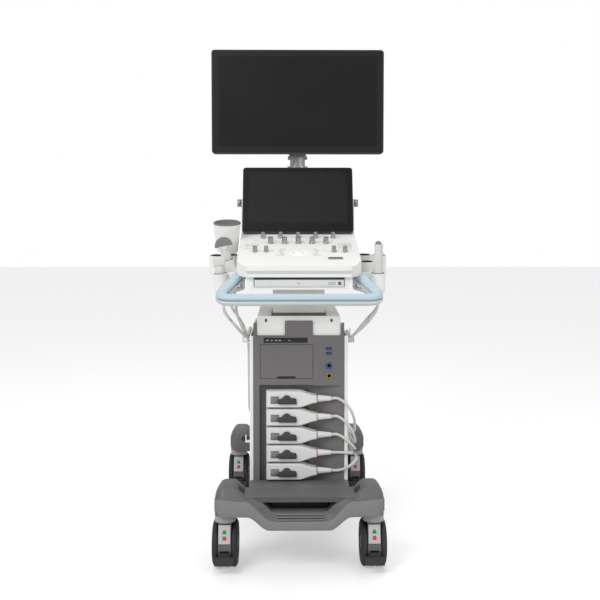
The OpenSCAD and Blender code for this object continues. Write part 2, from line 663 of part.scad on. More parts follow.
module probe_holders() color("#efefed") {
    difference() {
        union() {
            for (i = [0:8]) cup_wall(i);
            // trays that tie the cups to the console
            for (s = [-1, 1]) {
                block([s > 0 ? console_w / 2 : -232, -180, tub_z + 2],
                    [s > 0 ? 232 : -console_w / 2, s > 0 ? -75 : 46, tub_z + 14]);
                block([s > 0 ? console_w / 2 : -216, -225, tub_z - 6],
                    [s > 0 ? 216 : -console_w / 2, -178, tub_z + 6]);
            }
            at_gel() cylinder(r1 = gel_d / 2 - 3.5, r2 = gel_d / 2 + 6, h = gel_h);
            at_gel() translate([0, 0, -50]) cylinder(r = 16, h = 52);
        }
        for (i = [0:8]) cup_hole(i);
        at_gel() translate([0, 0, 5]) cylinder(r = gel_d / 2 - 6.5, h = gel_h);
        at_gel() translate([0, 0, gel_h - 40]) cylinder(r = gel_d / 2, h = 60);
    }
}

// ---------------------------------------------------------------- probes and cables
// cup of each probe, and its kind: 0 convex, 1 linear, 2 slim, 3 wand
PROBES = [[0, 0], [1, 1], [2, 2], [3, 3], [4, 2]];
module probe_head(kind) {
    if (kind == 0) {
        cylinder(r1 = 15, r2 = 12, h = 22);
        translate([0, 0, 20]) cylinder(r1 = 11, r2 = 17, h = 22);
        translate([0, 9, 42]) rotate([90, 0, 0]) intersection() {
            cylinder(r = 25, h = 18);
            translate([0, 12, 9]) cube([50, 26, 20], center = true);
        }
    }
    if (kind == 1) {
        cylinder(r1 = 15, r2 = 11, h = 20);
        translate([0, 0, 18]) linear_extrude(26) square([34, 16], center = true);
    }
    if (kind == 2) {
        cylinder(r1 = 15, r2 = 10, h = 16);
        translate([0, 0, 15]) linear_extrude(20) square([24, 14], center = true);
    }
    if (kind == 3) {
        cylinder(r1 = 15, r2 = 14, h = 48);
        translate([0, 0, 47]) cylinder(r1 = 14, r2 = 9, h = 14);
        translate([0, 0, 60]) cylinder(r = 9, h = 20);
        translate([0, 0, 80]) sphere(9);
    }
}
module probe(i) color("#d9d9d6") difference() {
    at_cup(PROBES[i][0]) {
        translate([0, 0, -cup_h + 6 + gap]) cylinder(r1 = 12.5, r2 = 15, h = cup_h - 6 - gap + 0.1);
        probe_head(PROBES[i][1]);
        translate([0, 0, -cup_h - 120]) cylinder(r = cable_d / 2, h = 130);
        translate([0, 0, -cup_h - 24]) cylinder(r1 = cable_d / 2, r2 = 7.5, h = 31);
    }
    block([-300, -300, 0], [300, 300, cable_top + gap]);
}

// routes of the probe cables, from the connector to the tail of the probe
ROUTES = [
    [[90, -232, 427.5], [106, -232, 427.5], [126, -236.5, 416], [144, -236, 392], [154, -218, 360],
        [156, -176, 324], [149, -110, 304],
     [142, -20, 306], [141, 44, 350], [141, 76, 440], [141, 82, 530], [141, 58, 575],
         [141, -40, 575.5], [142, -130, 577],
     [152, -168, 592], [186, -200, 628], [214, -210, 668], [216, -211, 691.5]],
    [[90, -232, 377.5], [106, -232, 377.5], [126, -236.5, 365], [144, -236, 342], [154, -222, 316],
        [157, -186, 294], [152, -100, 286],
     [150, 0, 296], [150, 60, 350], [150, 92, 440], [150, 98, 530], [150, 60, 575.5],
         [150, -40, 575.5], [151, -130, 577],
     [154, -148, 588], [198, -134, 638], [224, -129, 668], [226, -128.5, 691.5]],
    [[90, -232, 327.5], [106, -232, 327.5], [126, -236.5, 317], [144, -236, 301], [154, -222, 287],
        [157, -180, 275], [152, -110, 268],
     [150, -20, 262], [150, 120, 262], [152, 182, 273], [147, 206, 284], [128, 214, 291],
         [96, 210.5, 293], [0, 210.5, 291],
     [-96, 210.5, 293], [-128, 214, 297], [-143, 214, 306], [-148, 206, 330], [-147, 176, 410],
         [-146, 124, 530], [-145, 66, 584.5],
     [-145, -40, 584.5], [-145.5, -130, 586], [-154, -158, 606], [-174, -150, 654], [-176, -149, 691.5]],
    [[90, -232, 277.5], [106, -232, 277.5], [126, -236.5, 278], [144, -235, 276], [146, -214, 272],
        [144, -180, 264], [141, -110, 256],
     [141, 20, 252], [141, 120, 253], [143, 180, 262], [144, 198, 270], [134, 210, 278],
         [96, 206, 284.5], [0, 205, 282],
     [-96, 206, 285], [-134, 210, 290], [-146, 196, 300], [-141, 160, 350], [-141, 120, 430],
         [-141, 84, 520], [-141, 56, 575.5],
     [-141, -40, 575.5], [-141.5, -130, 577], [-160, -172, 602], [-202, -208, 660],
         [-205.5, -210.5, 691.5]],
    [[90, -232, 227.5], [106, -232, 227.5], [128, -237, 234], [147, -238, 247], [158, -226, 257],
        [159, -190, 259], [153, -130, 255],
     [150, 20, 252], [150, 120, 253], [154, 192, 264], [150, 218, 273], [130, 221, 281],
         [96, 215.5, 284.5], [0, 214, 282],
     [-96, 215.5, 285], [-130, 220, 288], [-148, 216, 294], [-154, 198, 312], [-153, 156, 400],
         [-152, 100, 520], [-157, 70, 568],
     [-172, 42, 608], [-201, 28, 656], [-205, 26, 691.5]]];
SIDES = 8;
function unit(v) = v / norm(v);
function tangent(p, i) = i == 0 ? unit(p[1] - p[0]) : i == len(p) - 1 ? [0, 0,
    1] : unit(unit(p[i + 1] - p[i]) + unit(p[i] - p[i - 1]));
function flat(n, t) = unit(n - (n * t) * t);
// one reference direction for each ring, carried along without twist
function refs(p) = [for (i = 0, n = flat([0, 1, 0.2], tangent(p, 0)); i < len(p); i = i + 1,
    n = flat(n, tangent(p, min(i, len(p) - 1)))) n];
function ring(c, n, t, r) = [for (k = [0:SIDES - 1]) c + r * (cos(360 * k / SIDES)
    * n + sin(360 * k / SIDES) * cross(t, n))];
module tube(p, r) {
    n = refs(p);
    last = len(p) - 1;
    points = [for (i = [0:last]) each ring(p[i], n[i], tangent(p, i), r)];
    sides = [for (i = [0:last - 1], k = [0:SIDES - 1])
        [i * SIDES + k, (i + 1) * SIDES + k, (i + 1) * SIDES + (k + 1) % SIDES,
            i * SIDES + (k + 1) % SIDES]];
    ends = [[for (k = [0:SIDES - 1]) k], [for (k = [SIDES - 1:-1:0]) last * SIDES + k]];
    polyhedron(points, concat(sides, ends), convexity = 10);
}
module probe_cable(i) color("#d0d0cc") tube(ROUTES[i], cable_d / 2);

// ---------------------------------------------------------------- touch panel
module at_touch() translate([0, TP_Y, TP_Z]) rotate([-touch_tilt, 0, 0]) children();
touch_face = -30;       // front of the touch panel, from its pivot
module touch_panel() color("#1b1b1e") {
    at_touch() difference() {
        round_panel(-touch_w / 2, touch_w / 2, -touch_h / 2, touch_h / 2, touch_face, touch_t, 9);
        block([-touch_w / 2 + 3, touch_face - 1, -touch_h / 2 + 3],
            [touch_w / 2 - 3, touch_face + 1.6, touch_h / 2 - 3]);
    }
    for (s = [-1, 1]) {
        at_touch() block([s > 0 ? touch_w / 2 - 30 : -touch_w / 2, touch_face + touch_t - 1, -22],
            [s > 0 ? touch_w / 2 : -touch_w / 2 + 30, 10, 22]);
        rod_x(5, s > 0 ? touch_w / 2 - 20 : -touch_w / 2 - 8,
            s > 0 ? touch_w / 2 + 8 : -touch_w / 2 + 20, TP_Y, TP_Z);
        rod_x(10.5, s > 0 ? touch_w / 2 + 4 + 2 * gap : -touch_w / 2 - 17,
            s > 0 ? touch_w / 2 + 17 : -touch_w / 2 - 4 - 2 * gap, TP_Y, TP_Z);
    }
}
module touch_glass() color("#101014") at_touch()
    round_panel(-touch_w / 2 + 3 + gap, touch_w / 2 - 3 - gap, -touch_h / 2 + 3 + gap,
        touch_h / 2 - 3 - gap, touch_face + 0.1, 1.5, 6);

// ---------------------------------------------------------------- display arm
ARM_A = [0, 112];
ARM_B = [118, 118];
ARM_C = [0, 130];
arm_z = shelf_z + 1 + gap;             // underside of the lower arm
arm_h = 30;
module link(a, b, z, h, w) translate([0, 0, z]) linear_extrude(h) {
    for (p = [a, b]) translate(p) circle(w / 2);
    translate(a) rotate(atan2(b[1] - a[1], b[0] - a[0])) translate([0,
        -w / 2 + 3]) square([norm(b - a), w - 6]);
}
module arm_lower() color("#e4e4e2") {
    difference() {
        link(ARM_A, ARM_B, arm_z + gap, arm_h, 44);
        translate([ARM_A[0], ARM_A[1], arm_z - 1]) cylinder(r = 12 + run, h = 60);
    }
    translate([ARM_B[0], ARM_B[1], arm_z + 10]) cylinder(r = 10, h = 48);
}
module arm_upper() color("#e4e4e2") difference() {
    union() {
        link(ARM_B, ARM_C, arm_z + arm_h + 6, arm_h, 42);
        translate([ARM_C[0], ARM_C[1], arm_z + arm_h + 6]) cylinder(r = 20,
            h = neck_z - arm_z - arm_h - 6 - gap);
    }
    translate([ARM_B[0], ARM_B[1], arm_z + arm_h]) cylinder(r = 10 + run, h = 50);
    translate([ARM_C[0], ARM_C[1], neck_z - 40]) cylinder(r = 10 + run, h = 50);
}
neck_z = monitor_z - 42;
tilt_z = monitor_z + 76;
tilt_y = ARM_C[1] - 14;
module monitor_neck() color("#8f9092") {
    difference() {
        union() {
            translate([0, ARM_C[1], neck_z]) cylinder(r = 31.5, h = 9);
            translate([0, ARM_C[1], neck_z + 9]) cylinder(r = 23.5, h = 26);
            translate([0, ARM_C[1], neck_z - 38]) cylinder(r = 10, h = 40);
            block([-30, ARM_C[1] - 12, neck_z + 30], [30, ARM_C[1] + 18, neck_z + 40]);
            block([-26, ARM_C[1] - 4, neck_z + 30], [26, ARM_C[1] + 12, tilt_z + 10]);
            rod_x(12, -30, 30, tilt_y, tilt_z);
            block([-26, tilt_y, tilt_z - 10], [26, ARM_C[1], tilt_z + 10]);
        }
    }
    rod_x(6, -50, 50, tilt_y, tilt_z);
}
monitor_y = tilt_y - 71;
module monitor_shell() color("#2b2b2d") {
    difference() {
        union() {
            round_panel(-monitor_w / 2, monitor_w / 2, monitor_z, monitor_z + monitor_h, monitor_y,
                monitor_t, 10);
            round_panel(-170, 170, monitor_z + 30, monitor_z + monitor_h - 60,
                monitor_y + monitor_t - 1, 16, 24);
        }
        block([-monitor_w / 2 + 4, monitor_y - 1, monitor_z + 4],
            [monitor_w / 2 - 4, monitor_y + 1.8, monitor_z + monitor_h - 4]);
        // accessory holes in the back
        for (x = [-50, 50], z = [-50, 50]) rod_y(2, monitor_y + monitor_t, monitor_y + 60, x,
            tilt_z + 80 + z);
    }
    for (s = [-1, 1]) difference() {
        block([s > 0 ? 31 : -45, monitor_y + monitor_t + 14, tilt_z - 18],
            [s > 0 ? 45 : -31, tilt_y + 12, tilt_z + 18]);
        rod_x(6 + run, -60, 60, tilt_y, tilt_z);
    }
}
module monitor_glass() color("#101012")
    round_panel(-monitor_w / 2 + 4 + gap, monitor_w / 2 - 4 - gap, monitor_z + 4 + gap,
        monitor_z + monitor_h - 4 - gap, monitor_y + 0.1, 1.7, 6);

// ---------------------------------------------------------------- what is drawn
base_frame();
base_cover();
fork(0);  // caster_fl_fork
wheels(0);  // caster_fl_wheels
pedal(0);  // caster_fl_pedal
fork(1);  // caster_fr_fork
wheels(1);  // caster_fr_wheels
pedal(1);  // caster_fr_pedal
fork(2);  // caster_rl_fork
wheels(2);  // caster_rl_wheels
pedal(2);  // caster_rl_pedal
fork(3);  // caster_rr_fork
wheels(3);  // caster_rr_wheels
pedal(3);  // caster_rr_pedal
trunk_frame();
front_panel();
side_panels();
rear_panel();
top_cover();
ports_and_sockets();
printer_door();
probe_connectors();
lock_lever(0);  // lock_lever_1
lock_lever(1);  // lock_lever_2
lock_lever(2);  // lock_lever_3
lock_lever(3);  // lock_lever_4
lock_lever(4);  // lock_lever_5
probe_cable(0);  // probe_cable_1
probe_cable(1);  // probe_cable_2
probe_cable(2);  // probe_cable_3
probe_cable(3);  // probe_cable_4
probe_cable(4);  // probe_cable_5
column_mast();
console_tub();
console_deck();
handle();
probe_holders();
keyboard_drawer();
trackball_cage();
trackball();
freeze_button();
deck_keys();
menu_knobs();
mode_knob(0);  // mode_knob_1
mode_knob(1);  // mode_knob_2
mode_knob(2);  // mode_knob_3
mode_knob(3);  // mode_knob_4
mode_knob(4);  // mode_knob_5
probe(0);  // probe_1
probe(1);  // probe_2
probe(2);  // probe_3
probe(3);  // probe_4
probe(4);  // probe_5
touch_panel();
touch_glass();
arm_lower();
arm_upper();
monitor_neck();
monitor_shell();
monitor_glass();
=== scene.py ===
"""Cart-based ultrasound machine: finishes, cables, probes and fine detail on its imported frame."""

import json
import math

import bmesh
import bpy
from mathutils import Matrix, Vector


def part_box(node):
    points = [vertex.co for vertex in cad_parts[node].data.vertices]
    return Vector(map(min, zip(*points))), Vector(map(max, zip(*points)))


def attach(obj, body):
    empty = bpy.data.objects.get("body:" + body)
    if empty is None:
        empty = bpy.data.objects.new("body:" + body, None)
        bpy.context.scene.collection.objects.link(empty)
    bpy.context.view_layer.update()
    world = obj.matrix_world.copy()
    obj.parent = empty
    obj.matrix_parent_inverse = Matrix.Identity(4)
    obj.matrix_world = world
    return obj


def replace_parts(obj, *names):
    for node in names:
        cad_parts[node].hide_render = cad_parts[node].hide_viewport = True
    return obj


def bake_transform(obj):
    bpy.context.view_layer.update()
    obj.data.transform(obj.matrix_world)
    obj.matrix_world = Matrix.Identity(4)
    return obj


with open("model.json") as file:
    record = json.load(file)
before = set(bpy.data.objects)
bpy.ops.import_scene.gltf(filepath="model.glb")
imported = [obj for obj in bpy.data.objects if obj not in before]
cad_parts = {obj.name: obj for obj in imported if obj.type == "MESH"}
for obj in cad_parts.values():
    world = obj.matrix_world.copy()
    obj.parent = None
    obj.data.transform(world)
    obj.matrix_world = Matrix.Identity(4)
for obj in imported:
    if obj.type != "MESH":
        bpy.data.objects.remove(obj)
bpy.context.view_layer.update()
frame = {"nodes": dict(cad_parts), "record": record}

bl_info = {
    "name": "Ultrasound Cart",
    "version": (1, 0, 0),
    "blender": (4, 5, 0),
    "location": "View3D > Sidebar > Ultrasound Cart",
    "description": "Builds the finishes, cables and fine detail of a cart-based ultrasound machine",
    "category": "Add Mesh",
}

RECORD = frame["record"]
SLOT_OF = {row["node"]: row["material_slot"] for row in RECORD["subparts"]}
SLOT_COLOUR = {row["slot"]: tuple(row["base_color"][:3]) for row in RECORD["materials"]}
BODY_OF = {node: body for body, nodes in RECORD["behaviour"]["bodies"].items() for node in nodes}


def colour_property(slot, words):
    return bpy.props.FloatVectorProperty(
        name=words.capitalize(),
        description=f"Colour of the {words}",
        subtype="COLOR",
        size=3,
        min=0.0,
        max=1.0,
        default=SLOT_COLOUR[slot],
    )


class CartColours(bpy.types.PropertyGroup):
    """Colours of the cart's finishes"""

    base_grey: colour_property("base_grey", "moulded base cover")
    frame_steel: colour_property("frame_steel", "steel frame")
    trunk_grey: colour_property("trunk_grey", "trunk front")
    white_plastic: colour_property("white_plastic", "white covers")
    rear_grey: colour_property("rear_grey", "rear panel")
    black_plastic: colour_property("black_plastic", "sockets")
    connector_white: colour_property("connector_white", "probe connectors")
    lever_black: colour_property("lever_black", "lock levers")
    cable_grey: colour_property("cable_grey", "probe cables")
    mast_beige: colour_property("mast_beige", "lifting column")
    deck_white: colour_property("deck_white", "console deck")
    handle_blue: colour_property("handle_blue", "handle grip")
    key_grey: colour_property("key_grey", "deck keys")
    knob_silver: colour_property("knob_silver", "knobs")
    ball_white: colour_property("ball_white", "trackball")
    cage_grey: colour_property("cage_grey", "trackball cage")
    probe_body: colour_property("probe_body", "probes")
    bezel_black: colour_property("bezel_black", "touch panel")
    display_dark: colour_property("display_dark", "display shell")
    screen_glass: colour_property("screen_glass", "screen glass")
    arm_white: colour_property("arm_white", "display arm")
    neck_metal: colour_property("neck_metal", "display neck")
    tyre_black: colour_property("tyre_black", "tyres")
    fork_grey: colour_property("fork_grey", "caster forks")
    pedal_dark: colour_property("pedal_dark", "brake pedals")


class CartSizes(bpy.types.PropertyGroup):
    """Sizes of the cables, screens and edges"""

    cable_diameter: bpy.props.FloatProperty(
        name="Cable Diameter", description="Outside diameter of a probe cable",
        default=0.008, min=0.004, max=0.012, unit="LENGTH",
    )
    cable_sides: bpy.props.IntProperty(
        name="Cable Sides", description="Faces round a probe cable", default=12, min=6, max=24,
    )
    edge_radius: bpy.props.FloatProperty(
        name="Edge Radius", description="Rounding of the moulded covers' edges",
        default=0.0022, min=0.0005, max=0.006, unit="LENGTH",
    )
    display_width: bpy.props.FloatProperty(
        name="Display Width", description="Width of the display's active area",
        default=0.476, min=0.3, max=0.5, unit="LENGTH",
    )
    touch_width: bpy.props.FloatProperty(
        name="Touch Width", description="Width of the touch panel's active area",
        default=0.294, min=0.2, max=0.31, unit="LENGTH",
    )


class CartStage(bpy.types.PropertyGroup):
    """Light and camera"""

    key_power: bpy.props.FloatProperty(
        name="Key Power", description="Power of the key softbox", default=46.0, min=0.0, max=400.0, unit="POWER",
    )
    world_strength: bpy.props.FloatProperty(
        name="World Strength", description="Strength of the white room light", default=0.60, min=0.0, max=2.0,
    )
    lens: bpy.props.FloatProperty(
        name="Lens", description="Focal length in millimetres", default=53.5, min=20.0, max=200.0,
    )


# ---------------------------------------------------------------- shader groups

def new_group(name, inputs, outputs):
    group = bpy.data.node_groups.new(name, "ShaderNodeTree")
    for socket_name, kind, value in inputs:
        socket = group.interface.new_socket(name=socket_name, in_out="INPUT", socket_type=kind)
        socket.default_value = value
    for socket_name, kind in outputs:
        group.interface.new_socket(name=socket_name, in_out="OUTPUT", socket_type=kind)
    return group, group.nodes.new("NodeGroupInput"), group.nodes.new("NodeGroupOutput")


def add_node(tree, kind, links=(), **settings):
    """A node with its settings, its inputs filled from values or from other nodes' sockets."""
    node = tree.nodes.new(kind)
    for key, value in settings.items():
        setattr(node, key, value)
    for socket, source in links:
        target = node.inputs[socket]
        if isinstance(source, bpy.types.NodeSocket):
            tree.links.new(source, target)
        else:
            target.default_value = source
    return node


def surface_tone_group():
    """Slow change of tone over a surface, with a little dust where it faces up."""
    if "surface_tone" in bpy.data.node_groups:
        return bpy.data.node_groups["surface_tone"]
    group, enter, leave = new_group(
        "surface_tone",
        [("Color", "NodeSocketColor", (0.5, 0.5, 0.5, 1.0)), ("Amount", "NodeSocketFloat", 0.06),
         ("Scale", "NodeSocketFloat", 9.0), ("Dust", "NodeSocketFloat", 0.04),
         ("Roughness", "NodeSocketFloat", 0.45)],
        [("Color", "NodeSocketColor"), ("Roughness", "NodeSocketFloat")],
    )
    place = add_node(group, "ShaderNodeTexCoord")
    noise = add_node(group, "ShaderNodeTexNoise", [
        ("Vector", place.outputs["Object"]), ("Scale", enter.outputs["Scale"]),
        ("Detail", 4.0), ("Roughness", 0.6)])
    centred = add_node(group, "ShaderNodeMath", [(0, noise.outputs["Fac"]), (1, 0.5)], operation="SUBTRACT")
    swing = add_node(group, "ShaderNodeMath", [(0, centred.outputs[0]), (1, enter.outputs["Amount"])],
                     operation="MULTIPLY")
    bright = add_node(group, "ShaderNodeMath", [(0, swing.outputs[0]), (1, 1.0)], operation="ADD")
    toned = add_node(group, "ShaderNodeHueSaturation", [("Value", bright.outputs[0]),
                                                        ("Color", enter.outputs["Color"])])
    normal = add_node(group, "ShaderNodeNewGeometry")
    parts = add_node(group, "ShaderNodeSeparateXYZ", [("Vector", normal.outputs["Normal"])])
    upward = add_node(group, "ShaderNodeMapRange", [("Value", parts.outputs["Z"]), ("From Min", 0.6)])
    specks = add_node(group, "ShaderNodeTexNoise", [
        ("Vector", place.outputs["Object"]), ("Scale", 60.0), ("Detail", 3.0)])
    dusty = add_node(group, "ShaderNodeMath", [(0, upward.outputs[0]), (1, specks.outputs["Fac"])],
                     operation="MULTIPLY")
    dust = add_node(group, "ShaderNodeMath", [(0, dusty.outputs[0]), (1, enter.outputs["Dust"])],
                    operation="MULTIPLY")
    mixed = add_node(group, "ShaderNodeMix", [("Factor", dust.outputs[0]), ("A", toned.outputs["Color"]),
                                              ("B", (0.62, 0.61, 0.58, 1.0))], data_type="RGBA")
    rough = add_node(group, "ShaderNodeMath", [(0, centred.outputs[0]), (1, 0.16), (2, enter.outputs["Roughness"])],
                     operation="MULTIPLY_ADD")
    rougher = add_node(group, "ShaderNodeMath", [(0, dust.outputs[0]), (1, rough.outputs[0])], operation="ADD")
    group.links.new(mixed.outputs["Result"], leave.inputs["Color"])
    group.links.new(rougher.outputs[0], leave.inputs["Roughness"])
    return group


def fine_grain_group():
    """Spark-eroded mould grain or paint orange peel, as a height for a Bump node."""
    if "fine_grain" in bpy.data.node_groups:
        return bpy.data.node_groups["fine_grain"]
    group, enter, leave = new_group(
        "fine_grain",
        [("Scale", "NodeSocketFloat", 1400.0), ("Height", "NodeSocketFloat", 0.5)],
        [("Height", "NodeSocketFloat")],
    )
    place = add_node(group, "ShaderNodeTexCoord")
    noise = add_node(group, "ShaderNodeTexNoise", [
        ("Vector", place.outputs["Object"]), ("Scale", enter.outputs["Scale"]), ("Detail", 2.0)])
    cells = add_node(group, "ShaderNodeTexVoronoi", [
        ("Vector", place.outputs["Object"]), ("Scale", enter.outputs["Scale"])])
    both = add_node(group, "ShaderNodeMath", [(0, noise.outputs["Fac"]), (1, cells.outputs["Distance"])],
                    operation="MULTIPLY")
    out = add_node(group, "ShaderNodeMath", [(0, both.outputs[0]), (1, enter.outputs["Height"])],
                   operation="MULTIPLY")
    group.links.new(out.outputs[0], leave.inputs["Height"])
    return group


def brushed_lines_group():
    """Fine turned or brushed lines along one axis, as a height and a roughness."""
    if "brushed_lines" in bpy.data.node_groups:
        return bpy.data.node_groups["brushed_lines"]
    group, enter, leave = new_group(
        "brushed_lines",
        [("Stretch", "NodeSocketVector", (40.0, 40.0, 1800.0)), ("Roughness", "NodeSocketFloat", 0.3)],
        [("Height", "NodeSocketFloat"), ("Roughness", "NodeSocketFloat")],
    )
    place = add_node(group, "ShaderNodeTexCoord")
    stretched = add_node(group, "ShaderNodeVectorMath", [
        (0, place.outputs["Object"]), (1, enter.outputs["Stretch"])], operation="MULTIPLY")
    noise = add_node(group, "ShaderNodeTexNoise", [
        ("Vector", stretched.outputs[0]), ("Scale", 1.0), ("Detail", 3.0)])
    rough = add_node(group, "ShaderNodeMath", [(0, noise.outputs["Fac"]), (1, 0.14), (2, enter.outputs["Roughness"])],
                     operation="MULTIPLY_ADD")
    group.links.new(noise.outputs["Fac"], leave.inputs["Height"])
    group.links.new(rough.outputs[0], leave.inputs["Roughness"])
    return group


def round_box_group():
    """Mask of a rounded rectangle on a plane through a point: 1 inside, 0 outside."""
    if "round_box" in bpy.data.node_groups:
        return bpy.data.node_groups["round_box"]
    group, enter, leave = new_group(
        "round_box",
        [("Centre", "NodeSocketVector", (0.0, 0.0, 0.0)), ("Half", "NodeSocketVector", (0.1, 0.1, 0.1)),
         ("Radius", "NodeSocketFloat", 0.004)],
        [("Mask", "NodeSocketFloat")],
    )
    place = add_node(group, "ShaderNodeTexCoord")
    offset = add_node(group, "ShaderNodeVectorMath", [
        (0, place.outputs["Object"]), (1, enter.outputs["Centre"])], operation="SUBTRACT")
    folded = add_node(group, "ShaderNodeVectorMath", [(0, offset.outputs[0])], operation="ABSOLUTE")
    inner = add_node(group, "ShaderNodeVectorMath", [
        (0, folded.outputs[0]), (1, enter.outputs["Half"])], operation="SUBTRACT")
    grown = add_node(group, "ShaderNodeVectorMath", [
        (0, inner.outputs[0]), (1, enter.outputs["Radius"])], operation="ADD")
    outside = add_node(group, "ShaderNodeVectorMath", [(0, grown.outputs[0]), (1, (0.0, 0.0, 0.0))],
                       operation="MAXIMUM")
    length = add_node(group, "ShaderNodeVectorMath", [(0, outside.outputs[0])], operation="LENGTH")
    inside = add_node(group, "ShaderNodeMath", [(0, length.outputs["Value"]), (1, enter.outputs["Radius"])],
                      operation="LESS_THAN")
    group.links.new(inside.outputs[0], leave.inputs["Mask"])
    return group


# ---------------------------------------------------------------- finishes

# slot: roughness, tone, grain height, coat
FINISHES = {
    "base_grey": (0.46, 0.05, 0.6, 0.0),
    "frame_steel": (0.42, 0.05, 0.5, 0.0),
    "trunk_grey": (0.50, 0.05, 0.9, 0.0),
    "white_plastic": (0.38, 0.025, 0.4, 0.0),
    "rear_grey": (0.50, 0.05, 0.8, 0.0),
    "black_plastic": (0.40, 0.05, 0.4, 0.0),
    "connector_white": (0.40, 0.03, 0.4, 0.0),
    "lever_black": (0.50, 0.08, 0.9, 0.0),
    "cable_grey": (0.48, 0.05, 0.3, 0.0),
    "mast_beige": (0.36, 0.03, 0.5, 0.1),
    "deck_white": (0.36, 0.02, 0.4, 0.0),
    "handle_blue": (0.34, 0.03, 0.3, 0.15),
    "key_grey": (0.40, 0.03, 0.3, 0.0),
    "cage_grey": (0.45, 0.04, 0.4, 0.0),
    "probe_body": (0.36, 0.03, 0.4, 0.0),
    "bezel_black": (0.22, 0.05, 0.2, 0.3),
    "display_dark": (0.42, 0.05, 0.8, 0.0),
    "arm_white": (0.34, 0.03, 0.4, 0.1),
    "tyre_black": (0.62, 0.12, 1.2, 0.0),
    "fork_grey": (0.40, 0.06, 0.6, 0.0),
    "pedal_dark": (0.48, 0.08, 0.9, 0.0),
}


def new_material(name):
    material = bpy.data.materials.new(name)
    material.use_nodes = True
    tree = material.node_tree
    tree.nodes.clear()
    shader = tree.nodes.new("ShaderNodeBsdfPrincipled")
    out = tree.nodes.new("ShaderNodeOutputMaterial")
    tree.links.new(shader.outputs["BSDF"], out.inputs["Surface"])
    return material, tree, shader


def grain_on(tree, shader, scale, height, distance=0.0002):
    grain = add_node(tree, "ShaderNodeGroup", node_tree=fine_grain_group())
    grain.inputs["Scale"].default_value = scale
    grain.inputs["Height"].default_value = height
    bump = add_node(tree, "ShaderNodeBump", [
        ("Strength", 0.35), ("Distance", distance), ("Height", grain.outputs["Height"])])
    tree.links.new(bump.outputs["Normal"], shader.inputs["Normal"])


def moulded(name, colour, roughness, tone=0.04, grain=0.5, coat=0.0, dust=0.03, scale=1400.0):
    """A moulded or painted surface: toned colour, uneven roughness and fine grain."""
    if name in bpy.data.materials:
        return bpy.data.materials[name]
    material, tree, shader = new_material(name)
    surface = add_node(tree, "ShaderNodeGroup", node_tree=surface_tone_group())
    surface.inputs["Color"].default_value = (*colour, 1.0)
    surface.inputs["Amount"].default_value = tone
    surface.inputs["Dust"].default_value = dust
    surface.inputs["Roughness"].default_value = roughness
    tree.links.new(surface.outputs["Color"], shader.inputs["Base Color"])
    tree.links.new(surface.outputs["Roughness"], shader.inputs["Roughness"])
    if coat:
        shader.inputs["Coat Weight"].default_value = coat
        shader.inputs["Coat Roughness"].default_value = 0.2
    grain_on(tree, shader, scale, grain)
    return material


def machined(name, colour, roughness=0.3, stretch=(40.0, 40.0, 1800.0)):
    """Turned or brushed metal."""
    if name in bpy.data.materials:
        return bpy.data.materials[name]
    material, tree, shader = new_material(name)
    shader.inputs["Metallic"].default_value = 0.85
    surface = add_node(tree, "ShaderNodeGroup", node_tree=surface_tone_group())
    surface.inputs["Color"].default_value = (*colour, 1.0)
    surface.inputs["Amount"].default_value = 0.05
    surface.inputs["Dust"].default_value = 0.0
    lines = add_node(tree, "ShaderNodeGroup", node_tree=brushed_lines_group())
    lines.inputs["Stretch"].default_value = stretch
    lines.inputs["Roughness"].default_value = roughness
    tree.links.new(surface.outputs["Color"], shader.inputs["Base Color"])
    tree.links.new(lines.outputs["Roughness"], shader.inputs["Roughness"])
    bump = add_node(tree, "ShaderNodeBump", [
        ("Strength", 0.12), ("Distance", 0.0001), ("Height", lines.outputs["Height"])])
    tree.links.new(bump.outputs["Normal"], shader.inputs["Normal"])
    return material


def screen(name, glass_colour, area_colour, centre, half, radius=0.001):
    """Cover glass with the dark bezel print round a slightly lighter active area."""
    if name in bpy.data.materials:
        return bpy.data.materials[name]
    material, tree, shader = new_material(name)
    area = add_node(tree, "ShaderNodeGroup", node_tree=round_box_group())
    area.inputs["Centre"].default_value = centre
    area.inputs["Half"].default_value = half
    area.inputs["Radius"].default_value = radius
    mixed = add_node(tree, "ShaderNodeMix", [
        ("Factor", area.outputs["Mask"]), ("A", (*glass_colour, 1.0)), ("B", (*area_colour, 1.0))],
        data_type="RGBA")
    tree.links.new(mixed.outputs["Result"], shader.inputs["Base Color"])
    shader.inputs["Specular IOR Level"].default_value = 0.3
    smudge = add_node(tree, "ShaderNodeGroup", node_tree=surface_tone_group())
    smudge.inputs["Roughness"].default_value = 0.30
    tree.links.new(smudge.outputs["Roughness"], shader.inputs["Roughness"])
    return material


# Painted glow: a faint emission that makes a part which is no lamp look lit, standing in for a highlight.
def painted_glow(name, colour, light, strength):
    material, tree, shader = new_material(name)
    surface = add_node(tree, "ShaderNodeGroup", node_tree=surface_tone_group())
    surface.inputs["Color"].default_value = (*colour, 1.0)
    tree.links.new(surface.outputs["Color"], shader.inputs["Base Color"])
    shader.inputs["Emission Color"].default_value = (*light, 1.0)
    shader.inputs["Emission Strength"].default_value = strength
    shader.inputs["Roughness"].default_value = 0.25
    return material


def finish_of(slot):
    """The material of one of the record's slots."""
    if slot in bpy.data.materials:
        return bpy.data.materials[slot]
    colours = bpy.context.scene.cart_colours
    colour = tuple(getattr(colours, slot))
    if slot in FINISHES:
        roughness, tone, grain, coat = FINISHES[slot]
        return moulded(slot, colour, roughness, tone, grain, coat)
    if slot == "knob_silver":
        return machined(slot, colour, 0.32)
    if slot == "neck_metal":
        return machined(slot, colour, 0.28, (900.0, 900.0, 30.0))
    if slot == "ball_white":
        # Painted highlight: the trackball is given a faint glow.
        return painted_glow(slot, colour, (1.0, 0.97, 0.88), 0.35)
    if slot == "screen_glass":
        return moulded(slot, colour, 0.2, 0.02, 0.0)
    raise ValueError(f"no finish for {slot}")


# ---------------------------------------------------------------- mesh tools

